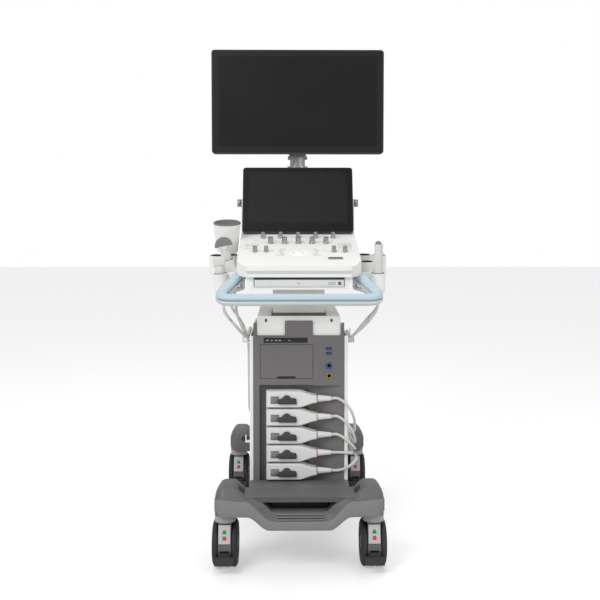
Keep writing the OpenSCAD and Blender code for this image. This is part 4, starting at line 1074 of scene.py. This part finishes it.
class ULTRASOUND_OT_knobs(bpy.types.Operator):
    """Make the fluted knobs, the trackball's ring with its painted glow, and the marks on the deck"""

    bl_idname = "ultrasound.knobs"
    bl_label = "Knobs and Marks"

    def execute(self, context):
        for index, (x, y) in enumerate(MODE_KNOBS):
            name = f"mode_knob_{index + 1}"

            def knob(work):
                add_ribbed_knob(work, on_deck(x, y, 0.0005), 0.0085, 0.0178)

            piece = piece_from(f"{name}_cap", mesh_of(f"{name}_cap", knob), "knob_silver", name)
            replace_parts(piece, name)

        def menu(work):
            for x, y, height in MENU_KNOBS:
                add_ribbed_knob(work, on_deck(x, y, 0.0021), 0.0070, height, 18)
                add_lathe(work, [(0.003, -0.006), (0.003, 0.0025)], on_deck(x, y), 16)

        piece = piece_from("menu_knob_caps", mesh_of("menu_knob_caps", menu), "knob_silver", "menu_knobs")
        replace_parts(piece, "menu_knobs")
        self.marks()
        self.ring()
        return {"FINISHED"}

    def marks(self):
        grey = moulded("mark_grey", (0.45, 0.46, 0.47), 0.45, 0.02, 0.2)
        spots = [(x, y, 0.009, 0.0012) for x, y in (
            (-0.146, -0.150), (-0.146, -0.156), (-0.135, -0.153), (-0.072, -0.176), (0.072, -0.176), (-0.060, -0.214),
            (0.060, -0.214), (-0.055, -0.219), (0.055, -0.219), (0.145, -0.150), (0.145, -0.156))]
        spots += [(0.118 + 0.014 * c, -0.150 - 0.005 * r, 0.008, 0.0010) for c in range(3) for r in range(2)]
        spots += [(x, y + 0.0135, 0.007, 0.0009) for x, y in MODE_KNOBS]
        spots += [(x, y - 0.0125, 0.008, 0.0009) for x, y, _ in MENU_KNOBS[5:]]

        def build(work):
            for x, y, width, height in spots:
                add_pad(work, on_deck(x, y, 0.0), width, height, 0.0003, height * 0.45)

        piece_from("deck_marks", mesh_of("deck_marks", build), "key_grey", "console", grey)

    def ring(self):
        # Painted highlight: the ring round the trackball is given a faint glow.
        painted_light = painted_glow("ring_glow", (0.86, 0.86, 0.82), (1.0, 0.96, 0.84), 0.25)
        place = on_deck(0.0, BALL_Y, 0.0)
        profile = [(0.0190, -0.001), (0.0188, 0.0006), (0.0196, 0.0013), (0.0230, 0.0010), (0.0245, 0.0002),
                   (0.0245, -0.001)]

        def build(work):
            steps = 48
            rings = [[work.verts.new(place @ Vector((r * math.cos(2 * math.pi * k / steps),
                                                     r * math.sin(2 * math.pi * k / steps), z)))
                      for k in range(steps)] for r, z in profile]
            rings.append(rings[0])
            for low, high in zip(rings, rings[1:]):
                for k in range(steps):
                    work.faces.new((low[k], low[(k + 1) % steps], high[(k + 1) % steps], high[k]))

        piece_from("trackball_ring", mesh_of("trackball_ring", build), "cage_grey", "console", painted_light)


HANDLE_PATH = ((-0.1560, -0.2420, 0.7680), (-0.1760, -0.2930, 0.7490), (-0.1960, -0.3430, 0.7290),
               (-0.2010, -0.3600, 0.7220), (-0.1955, -0.3780, 0.7150), (-0.1780, -0.3862, 0.7128),
               (-0.1500, -0.3865, 0.7128), (-0.0750, -0.3865, 0.7128), (0.0, -0.3865, 0.7128))


def add_shaped_tube(work, path, section):
    """Sweep a section, given as (out, up) offsets, along a level path; out is away from the console."""
    rings = []
    for k, point in enumerate(path):
        ahead = (path[min(k + 1, len(path) - 1)] - path[max(k - 1, 0)]).normalized()
        out = ahead.cross(Vector((0.0, 0.0, 1.0))).normalized()
        up = out.cross(ahead).normalized()
        rings.append([work.verts.new(point + out * a + up * b) for a, b in section])
    count = len(section)
    for low, high in zip(rings, rings[1:]):
        for n in range(count):
            work.faces.new((low[n], low[(n + 1) % count], high[(n + 1) % count], high[n]))
    work.faces.new(rings[0])
    work.faces.new(rings[-1])


class ULTRASOUND_OT_handle(bpy.types.Operator):
    """Make the handle with its soft grip, pale rim and stays"""

    bl_idname = "ultrasound.handle"
    bl_label = "Handle"

    def execute(self, context):
        pale = moulded("rim_grey", (0.60, 0.62, 0.63), 0.36, 0.03, 0.4)
        half = [Vector(point) for point in HANDLE_PATH]
        whole = half + [Vector((-p.x, p.y, p.z)) for p in reversed(half[:-1])]
        path = smooth_path(whole, 4)
        grip = [(0.0150 * math.cos(t), 0.0040 + (0.0115 if math.sin(t) > 0 else 0.0070) * math.sin(t))
                for t in (2 * math.pi * k / 20 for k in range(20))]
        rim = [(0.0156 * math.cos(t), -0.0058 + (0.0040 if math.sin(t) > 0 else 0.0098) * math.sin(t))
               for t in (2 * math.pi * k / 20 for k in range(20))]
        piece = piece_from("handle_grip", mesh_of("handle_grip", lambda work: add_shaped_tube(work, path, grip)),
                           "handle_blue", "console")
        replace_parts(piece, "handle")
        piece_from("handle_rim", mesh_of("handle_rim", lambda work: add_shaped_tube(work, path, rim)),
                   "handle_blue", "console", pale)

        def stays(work):
            for side in (-1, 1):
                add_pad(work, Matrix.Translation((side * 0.1530, -0.2380, 0.7300)), 0.0110, 0.0520, 0.0370, 0.004,
                        0.0, 0.002)
                line = [Vector((side * 0.1530, -0.2600, 0.7330)), Vector((side * 0.1700, -0.2900, 0.7300)),
                        Vector((side * 0.1880, -0.3300, 0.7240)), Vector((side * 0.1960, -0.3560, 0.7170))]
                add_tube(work, smooth_path(line, 5), 0.0060, 14)

        piece_from("handle_stays", mesh_of("handle_stays", stays), "handle_blue", "console", pale)
        return {"FINISHED"}


# A thin open wall just inside a cup's rim: black painted shade in the probe cups, the gel cup's own grey in the gel
# cup.
def cup_inside_wall(work, place, radius, depth, lip=0.0002, wall=0.0005):
    add_lathe(work, [(radius - wall, -depth), (radius - wall, lip), (radius, lip), (radius, -depth)], place, 40)


class ULTRASOUND_OT_holders(bpy.types.Operator):
    """Paint shade inside the probe cups, line the gel cup, and make the drawer's front with its painted shadow line and
    the deck's painted shade band
    """

    bl_idname = "ultrasound.holders"
    bl_label = "Cups and Drawer"

    def execute(self, context):
        # Painted shade: black walls inside the probe cups and empty cups stand for the shade in their openings.
        black_and_painted_shade = moulded("cup_liner", (0.035, 0.035, 0.037), 0.6, 0.06, 0.5)
        grey = moulded("gel_liner", (0.17, 0.17, 0.175), 0.5, 0.05, 0.4)
        cups = [cup_place(k) for k in range(5)] + [
            Matrix.Translation((x, y, z)) @ Matrix.Rotation(math.radians(b), 4, "Y")
            @ Matrix.Rotation(math.radians(a), 4, "X") for x, y, z, b, a in EMPTY_CUPS]

        def shade_walls(work):
            for place in cups:
                cup_inside_wall(work, place, 0.0179, 0.044, -0.0006)

        piece_from("cup_shade_walls", mesh_of("cup_shade_walls", shade_walls), "black_plastic", "console", black_and_painted_shade)
        gel = Matrix.Translation(GEL) @ Matrix.Rotation(math.radians(12), 4, "X")

        def gel_lining(work):
            cup_inside_wall(work, gel @ Matrix.Translation((0.0, 0.0, GEL_HEIGHT)), 0.0334, 0.039, 0.0)

        piece_from("gel_lining", mesh_of("gel_lining", gel_lining), "black_plastic", "console", grey)

        def gel_rim(work):
            steps = 56
            profile = [(0.0334, -0.002), (0.0334, 0.0012), (0.0345, 0.0026), (0.0372, 0.0028), (0.0392, 0.0016),
                       (0.0396, -0.0008), (0.0390, -0.002)]
            place = gel @ Matrix.Translation((0.0, 0.0, GEL_HEIGHT))
            rings = [[work.verts.new(place @ Vector((r * math.cos(2 * math.pi * k / steps),
                                                     r * math.sin(2 * math.pi * k / steps), z)))
                      for k in range(steps)] for r, z in profile]
            rings.append(rings[0])
            for low, high in zip(rings, rings[1:]):
                for k in range(steps):
                    work.faces.new((low[k], low[(k + 1) % steps], high[(k + 1) % steps], high[k]))

        piece_from("gel_rim", mesh_of("gel_rim", gel_rim), "black_plastic", "console", grey)
        self.drawer()
        return {"FINISHED"}

    def drawer(self):
        low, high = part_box("keyboard_drawer")
        silver = moulded("drawer_silver", (0.74, 0.74, 0.735), 0.28, 0.03, 0.3, 0.2)
        black_and_painted_shade = bpy.data.materials["cup_liner"]
        middle = (low.z + high.z) / 2 - 0.0014
        front = low.y + 0.0004

        def face(work):
            add_pad(work, facing((0.0, front, middle), (0.0, -1.0, 0.0)), 0.2340, 0.0175, 0.0030, 0.003, 0.0, 0.0012)

        # Painted shadow: a black strip along the drawer's top, with thin dark lines down its sides.
        def line(work):
            add_pad(work, facing((0.0, front, high.z - 0.0020), (0.0, -1.0, 0.0)), 0.2380, 0.0040, 0.0012, 0.0015)
            for side in (-1, 1):
                add_pad(work, facing((side * 0.1183, front, middle), (0.0, -1.0, 0.0)), 0.0012, 0.0180, 0.0012, 0.0005)

        def icons(work):
            place = facing((0.1060, front - 0.0028, middle), (0.0, -1.0, 0.0))
            add_pad(work, place, 0.0080, 0.0090, 0.0004, 0.0010)
            for k in range(3):
                add_pad(work, facing((0.0860, front - 0.0028, middle + 0.003 * (k - 1)), (0.0, -1.0, 0.0)),
                        0.0200, 0.0008, 0.0003, 0.0004)
            add_pad(work, facing((-0.0020, front - 0.0028, middle), (0.0, -1.0, 0.0)), 0.0080, 0.0012, 0.0003, 0.0006)

        # Painted shade: a grey band under the deck's front edge.
        def band(work):
            add_pad(work, facing((0.0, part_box("console_deck")[0].y + 0.0006, 0.7800), (0.0, -1.0, 0.0)),
                    0.2780, 0.0085, 0.0012, 0.0030, 0.0, 0.0005)

        piece_from("deck_shade_band", mesh_of("deck_shade_band", band), "deck_white", "console",
                   moulded("band_grey", (0.60, 0.60, 0.60), 0.38, 0.02, 0.3))
        piece_from("drawer_front", mesh_of("drawer_front", face), "white_plastic", "keyboard_drawer", silver)
        piece_from("drawer_shadow_line", mesh_of("drawer_shadow_line", line), "black_plastic", "keyboard_drawer", black_and_painted_shade)
        piece_from("drawer_icons", mesh_of("drawer_icons", icons), "black_plastic", "keyboard_drawer",
                   moulded("icon_grey", (0.12, 0.12, 0.125), 0.45, 0.03, 0.2))


# ---------------------------------------------------------------- trunk

PORT_Z = (0.4275, 0.3775, 0.3275, 0.2775, 0.2275)
PLUG_X = -0.089
PLUG_BACK = -0.214
PLUG_DEPTH = 0.036
BAND_COLOURS = ((0.02, 0.10, 0.04), (0.42, 0.55, 0.05), (0.50, 0.01, 0.05), (0.50, 0.01, 0.05), (0.02, 0.04, 0.16))


def plug_outline(inset):
    """Half-turned outline of a connector in XZ: a tall housing that narrows to its boot."""
    top = [(0.0, 0.0225), (0.0300, 0.0225), (0.0600, 0.0225), (0.0860, 0.0225)]
    top += [(0.086 + 0.052 * k / 10, 0.0225 - 0.0125 * (k / 10) ** 2 * (3 - 2 * k / 10)) for k in range(1, 11)]
    full = top + [(x, -z) for x, z in reversed(top)]
    return [(PLUG_X + x + (inset if x < 0.001 else -inset if x > 0.137 else 0.0), z - math.copysign(inset, z))
            for x, z in full]


class ULTRASOUND_OT_connectors(bpy.types.Operator):
    """Make the five probe connectors with their labels, colour rings and boots"""

    bl_idname = "ultrasound.connectors"
    bl_label = "Probe Connectors"

    def execute(self, context):
        label = moulded("label_grey", (0.20, 0.20, 0.205), 0.5, 0.25, 0.6, 0.0, 0.0, 500.0)
        front = PLUG_BACK - PLUG_DEPTH
        for index, z in enumerate(PORT_Z):
            name = f"plug_{index + 1}"

            def shell(work):
                depths = [(PLUG_BACK, 0.0), (front + 0.0060, 0.0), (front + 0.0035, 0.0005), (front + 0.0012, 0.0020),
                          (front + 0.0002, 0.0042)]
                add_loft(work, [[(x, y, z + up) for x, up in plug_outline(inset)] for y, inset in depths], Matrix())

            piece = piece_from(f"{name}_shell", mesh_of(f"{name}_shell", shell), "connector_white", "root", None, 0.0006)
            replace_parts(piece, "probe_connectors")
            turn = Matrix.Translation((0.049, PLUG_BACK - PLUG_DEPTH / 2, z)) @ Matrix.Rotation(math.pi / 2, 4, "Y")
            boot = [(0.0098, -0.004), (0.0100, 0.0), (0.0090, 0.010), (0.0076, 0.022), (0.0064, 0.034), (0.0055, 0.0405),
                    (0.0040, 0.0410)]
            piece_from(f"{name}_boot", mesh_of(f"{name}_boot", lambda work: add_lathe(work, boot, turn, 32)),
                       "connector_white", "root")
            ring = [(0.0100, -0.0022), (0.0112, -0.0018), (0.0112, 0.0012), (0.0100, 0.0016)]
            piece_from(f"{name}_ring", mesh_of(f"{name}_ring", lambda work: add_lathe(work, ring, turn, 32)),
                       "connector_white", "root",
                       moulded(f"ring_colour_{index + 1}", BAND_COLOURS[index], 0.4, 0.03, 0.2))

            def tag(work):
                add_pad(work, facing((PLUG_X + 0.0235, front + 0.0003, z - 0.0010), (0.0, -1.0, 0.0)),
                        0.0230, 0.0200, 0.0010, 0.0012)

            piece_from(f"{name}_label", mesh_of(f"{name}_label", tag), "connector_white", "root", label)
            self.lever(index, z, front)
        return {"FINISHED"}


    def lever(self, index, z, front):
        """The dark lock lever: a rounded bar with a thumb dome over its pivot."""
        body = f"lock_lever_{index + 1}"
        outline = [(-0.0215, -0.0120), (0.0255, -0.0120), (0.0270, -0.0090), (0.0262, 0.0010), (0.0235, 0.0036),
                   (0.0150, 0.0048)]
        outline += [(0.0125 * math.cos(math.pi * (0.12 + 0.76 * k / 8)), 0.0125 * math.sin(math.pi * (0.12 + 0.76 * k / 8)))
                    for k in range(9)]
        outline += [(-0.0150, 0.0030), (-0.0205, 0.0014), (-0.0225, -0.0020), (-0.0228, -0.0092)]

        def build(work):
            levels = ((0.0003, 1.0), (0.0050, 1.0), (0.0064, 0.97), (0.0070, 0.90))
            add_loft(work, [[(-0.033 + x * share, front - rise, z + up * share) for x, up in outline]
                            for rise, share in levels], Matrix())

        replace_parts(piece_from(f"{body}_cap", mesh_of(f"{body}_cap", build), "lever_black", body), body)


class ULTRASOUND_OT_ports(bpy.types.Operator):
    """Make the status strip, data ports and socket rings of the trunk, with painted shade in its slots and at the
    door's edge
    """

    bl_idname = "ultrasound.ports"
    bl_label = "Ports and Strip"

    def execute(self, context):
        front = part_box("front_panel")[0].y
        # Black for the status strip, and painted shade at the door's edge.
        strip_black_and_shade = moulded("strip_black", (0.006, 0.006, 0.007), 0.25, 0.02, 0.1, 0.2)
        blue = moulded("port_blue", (0.03, 0.09, 0.30), 0.4, 0.03, 0.2)
        olive = moulded("ring_olive", (0.26, 0.22, 0.05), 0.4, 0.03, 0.2)
        pale = moulded("strip_marks", (0.40, 0.41, 0.42), 0.5, 0.03, 0.1)
        black_and_painted_shade = bpy.data.materials["cup_liner"]

        def strip(work):
            add_pad(work, facing((-0.0360, front + 0.0004, 0.5875), (0.0, -1.0, 0.0)), 0.1190, 0.0135, 0.0014, 0.0015,
                    0.0, 0.0005)

        def strip_marks(work):
            for x, width in ((-0.086, 0.008), (-0.074, 0.004), (-0.062, 0.007), (-0.052, 0.006), (-0.026, 0.004)):
                add_pad(work, facing((x, front - 0.0009, 0.5872), (0.0, -1.0, 0.0)), width, 0.0030, 0.0003, 0.0010)

        def tongues(work):
            for z in (0.5645, 0.5515):
                add_pad(work, facing((0.082, front + 0.0012, z), (0.0, -1.0, 0.0)), 0.0125, 0.0042, 0.0018, 0.0006)

        def socket(z, inner, outer):
            place = Matrix.Translation((0.083, front - 0.0002, z)) @ Matrix.Rotation(math.pi / 2, 4, "X")

            def build(work):
                steps = 40
                profile = [(inner, -0.0008), (inner, 0.0016), (inner + 0.0008, 0.0024), (outer - 0.0008, 0.0024),
                           (outer, 0.0014), (outer, -0.0008)]
                rings = [[work.verts.new(place @ Vector((r * math.cos(2 * math.pi * k / steps),
                                                         r * math.sin(2 * math.pi * k / steps), up)))
                          for k in range(steps)] for r, up in profile]
                rings.append(rings[0])
                for low, high in zip(rings, rings[1:]):
                    for k in range(steps):
                        work.faces.new((low[k], low[(k + 1) % steps], high[(k + 1) % steps], high[k]))
            return build

        # Painted shade in the cover's two slots; a dark round-cornered pad low on the front in the same black.
        def slot_shade(work):
            for side in (-1, 1):
                add_pad(work, facing((side * 0.0900, -0.2165, 0.6402), (0.0, -0.78, 0.62)), 0.0055, 0.0100, 0.0008, 0.0020)
            place = facing((0.099, -0.2098, 0.2550), (0.0, -1.0, 0.0))
            add_pad(work, place, 0.0130, 0.0130, 0.0020, 0.0062, 0.0, 0.0006)

        # Painted shade: a black strip in the recess at the door's edge.
        def lip(work):
            add_pad(work, facing((-0.0335, front + 0.0002, 0.4858), (0.0, -1.0, 0.0)), 0.0480, 0.0042, 0.0012, 0.0019,
                    0.0, 0.0006)

        piece_from("status_strip", mesh_of("status_strip", strip), "black_plastic", "root", strip_black_and_shade)
        piece_from("status_marks", mesh_of("status_marks", strip_marks), "black_plastic", "root", pale)
        piece_from("port_tongues", mesh_of("port_tongues", tongues), "black_plastic", "root", blue)
        piece_from("socket_blue", mesh_of("socket_blue", socket(0.5175, 0.0048, 0.0092)), "black_plastic", "root", blue)
        piece_from("socket_olive", mesh_of("socket_olive", socket(0.4895, 0.0048, 0.0092)), "black_plastic", "root", olive)
        piece_from("cover_slot_shade", mesh_of("cover_slot_shade", slot_shade), "black_plastic", "root", black_and_painted_shade)
        piece_from("door_recess_shade", mesh_of("door_recess_shade", lip), "black_plastic", "printer_door", strip_black_and_shade)
        return {"FINISHED"}


# ---------------------------------------------------------------- stage

class ULTRASOUND_OT_stage(bpy.types.Operator):
    """Set the pale floor, the soft lights and the camera"""

    bl_idname = "ultrasound.stage"
    bl_label = "Stage"

    def execute(self, context):
        stage = context.scene.cart_stage
        self.floor()
        world = bpy.data.worlds.new("room")
        world.use_nodes = True
        tree = world.node_tree
        tree.nodes.clear()
        path = add_node(tree, "ShaderNodeLightPath")
        strength = add_node(tree, "ShaderNodeMix", [
            ("Factor", path.outputs["Is Camera Ray"]), ("A", stage.world_strength), ("B", 1.0)])
        sky = add_node(tree, "ShaderNodeBackground", [("Color", (1.0, 1.0, 1.0, 1.0)),
                                                      ("Strength", strength.outputs["Result"])])
        out = add_node(tree, "ShaderNodeOutputWorld")
        tree.links.new(sky.outputs[0], out.inputs["Surface"])
        context.scene.world = world
        self.lamp("key", (-1.6, -2.4, 2.6), (0.0, 0.0, 0.7), 1.6, stage.key_power)
        self.lamp("fill", (2.4, -2.0, 1.6), (0.0, 0.0, 0.6), 2.0, stage.key_power * 0.35)
        self.lamp("top", (0.2, 0.6, 3.2), (0.0, 0.0, 0.5), 1.8, stage.key_power * 0.4)
        camera = bpy.data.cameras.new("camera")
        camera.lens = stage.lens
        camera.sensor_width = 36.0
        view = bpy.data.objects.new("camera", camera)
        camera.shift_y = -0.06
        view.location = (-0.0286, -2.6537, 0.9231)
        view.rotation_euler = (math.radians(90 - 2.995), 0.0, -0.0131)
        context.scene.collection.objects.link(view)
        context.scene.camera = view
        context.scene.view_settings.view_transform = "Standard"
        return {"FINISHED"}

    def floor(self):
        def build(work):
            work.faces.new([work.verts.new((x, y, 0.0)) for x, y in ((-14, -14), (14, -14), (14, 14), (-14, 14))])

        mesh = mesh_of("floor", build)
        floor = bpy.data.objects.new("floor", mesh)
        bpy.context.scene.collection.objects.link(floor)
        material, tree, shader = new_material("floor_white")
        surface = add_node(tree, "ShaderNodeGroup", node_tree=surface_tone_group())
        surface.inputs["Color"].default_value = (0.86, 0.86, 0.86, 1.0)
        surface.inputs["Amount"].default_value = 0.01
        surface.inputs["Scale"].default_value = 1.5
        surface.inputs["Dust"].default_value = 0.0
        surface.inputs["Roughness"].default_value = 0.35
        tree.links.new(surface.outputs["Color"], shader.inputs["Base Color"])
        tree.links.new(surface.outputs["Roughness"], shader.inputs["Roughness"])
        path = add_node(tree, "ShaderNodeLightPath")
        seen = add_node(tree, "ShaderNodeMath", [(0, path.outputs["Is Camera Ray"]), (1, 0.34)],
                        operation="MULTIPLY")
        lift = add_node(tree, "ShaderNodeEmission", [("Strength", seen.outputs[0])])
        both = add_node(tree, "ShaderNodeAddShader", [(0, shader.outputs[0]), (1, lift.outputs[0])])
        out = next(node for node in tree.nodes if node.type == "OUTPUT_MATERIAL")
        tree.links.new(both.outputs[0], out.inputs["Surface"])
        mesh.materials.append(material)

    def lamp(self, name, place, target, size, power):
        light = bpy.data.lights.new(name, "AREA")
        light.shape = "DISK"
        light.size = size
        light.energy = power
        lamp = bpy.data.objects.new(name, light)
        lamp.location = place
        lamp.rotation_euler = (Vector(target) - Vector(place)).to_track_quat("-Z", "Y").to_euler()
        bpy.context.scene.collection.objects.link(lamp)


# ---------------------------------------------------------------- panel and registration

OPERATORS = (
    ULTRASOUND_OT_stage,
    ULTRASOUND_OT_cables,
    ULTRASOUND_OT_probes,
    ULTRASOUND_OT_finishes,
    ULTRASOUND_OT_base,
    ULTRASOUND_OT_casters,
    ULTRASOUND_OT_knobs,
    ULTRASOUND_OT_handle,
    ULTRASOUND_OT_holders,
    ULTRASOUND_OT_connectors,
    ULTRASOUND_OT_ports,
)


class ULTRASOUND_PT_panel(bpy.types.Panel):
    """Sizes, colours and steps of the cart"""

    bl_idname = "ULTRASOUND_PT_panel"
    bl_label = "Ultrasound Cart"
    bl_space_type = "VIEW_3D"
    bl_region_type = "UI"
    bl_category = "Ultrasound Cart"

    def draw(self, context):
        for group in (context.scene.cart_sizes, context.scene.cart_stage, context.scene.cart_colours):
            for name in group.__annotations__:
                self.layout.prop(group, name)
        for operator in OPERATORS:
            self.layout.operator(operator.bl_idname)


CLASSES = (CartColours, CartSizes, CartStage, *OPERATORS, ULTRASOUND_PT_panel)


def register():
    for cls in CLASSES:
        bpy.utils.register_class(cls)
    bpy.types.Scene.cart_colours = bpy.props.PointerProperty(type=CartColours)
    bpy.types.Scene.cart_sizes = bpy.props.PointerProperty(type=CartSizes)
    bpy.types.Scene.cart_stage = bpy.props.PointerProperty(type=CartStage)


def unregister():
    del bpy.types.Scene.cart_stage
    del bpy.types.Scene.cart_sizes
    del bpy.types.Scene.cart_colours
    for cls in reversed(CLASSES):
        bpy.utils.unregister_class(cls)


def main():
    register()
    bpy.ops.ultrasound.stage()
    bpy.ops.ultrasound.cables()
    bpy.ops.ultrasound.probes()
    bpy.ops.ultrasound.finishes()
    bpy.ops.ultrasound.base()
    bpy.ops.ultrasound.casters()
    bpy.ops.ultrasound.knobs()
    bpy.ops.ultrasound.handle()
    bpy.ops.ultrasound.holders()
    bpy.ops.ultrasound.connectors()
    bpy.ops.ultrasound.ports()


if __name__ == "__main__":
    main()
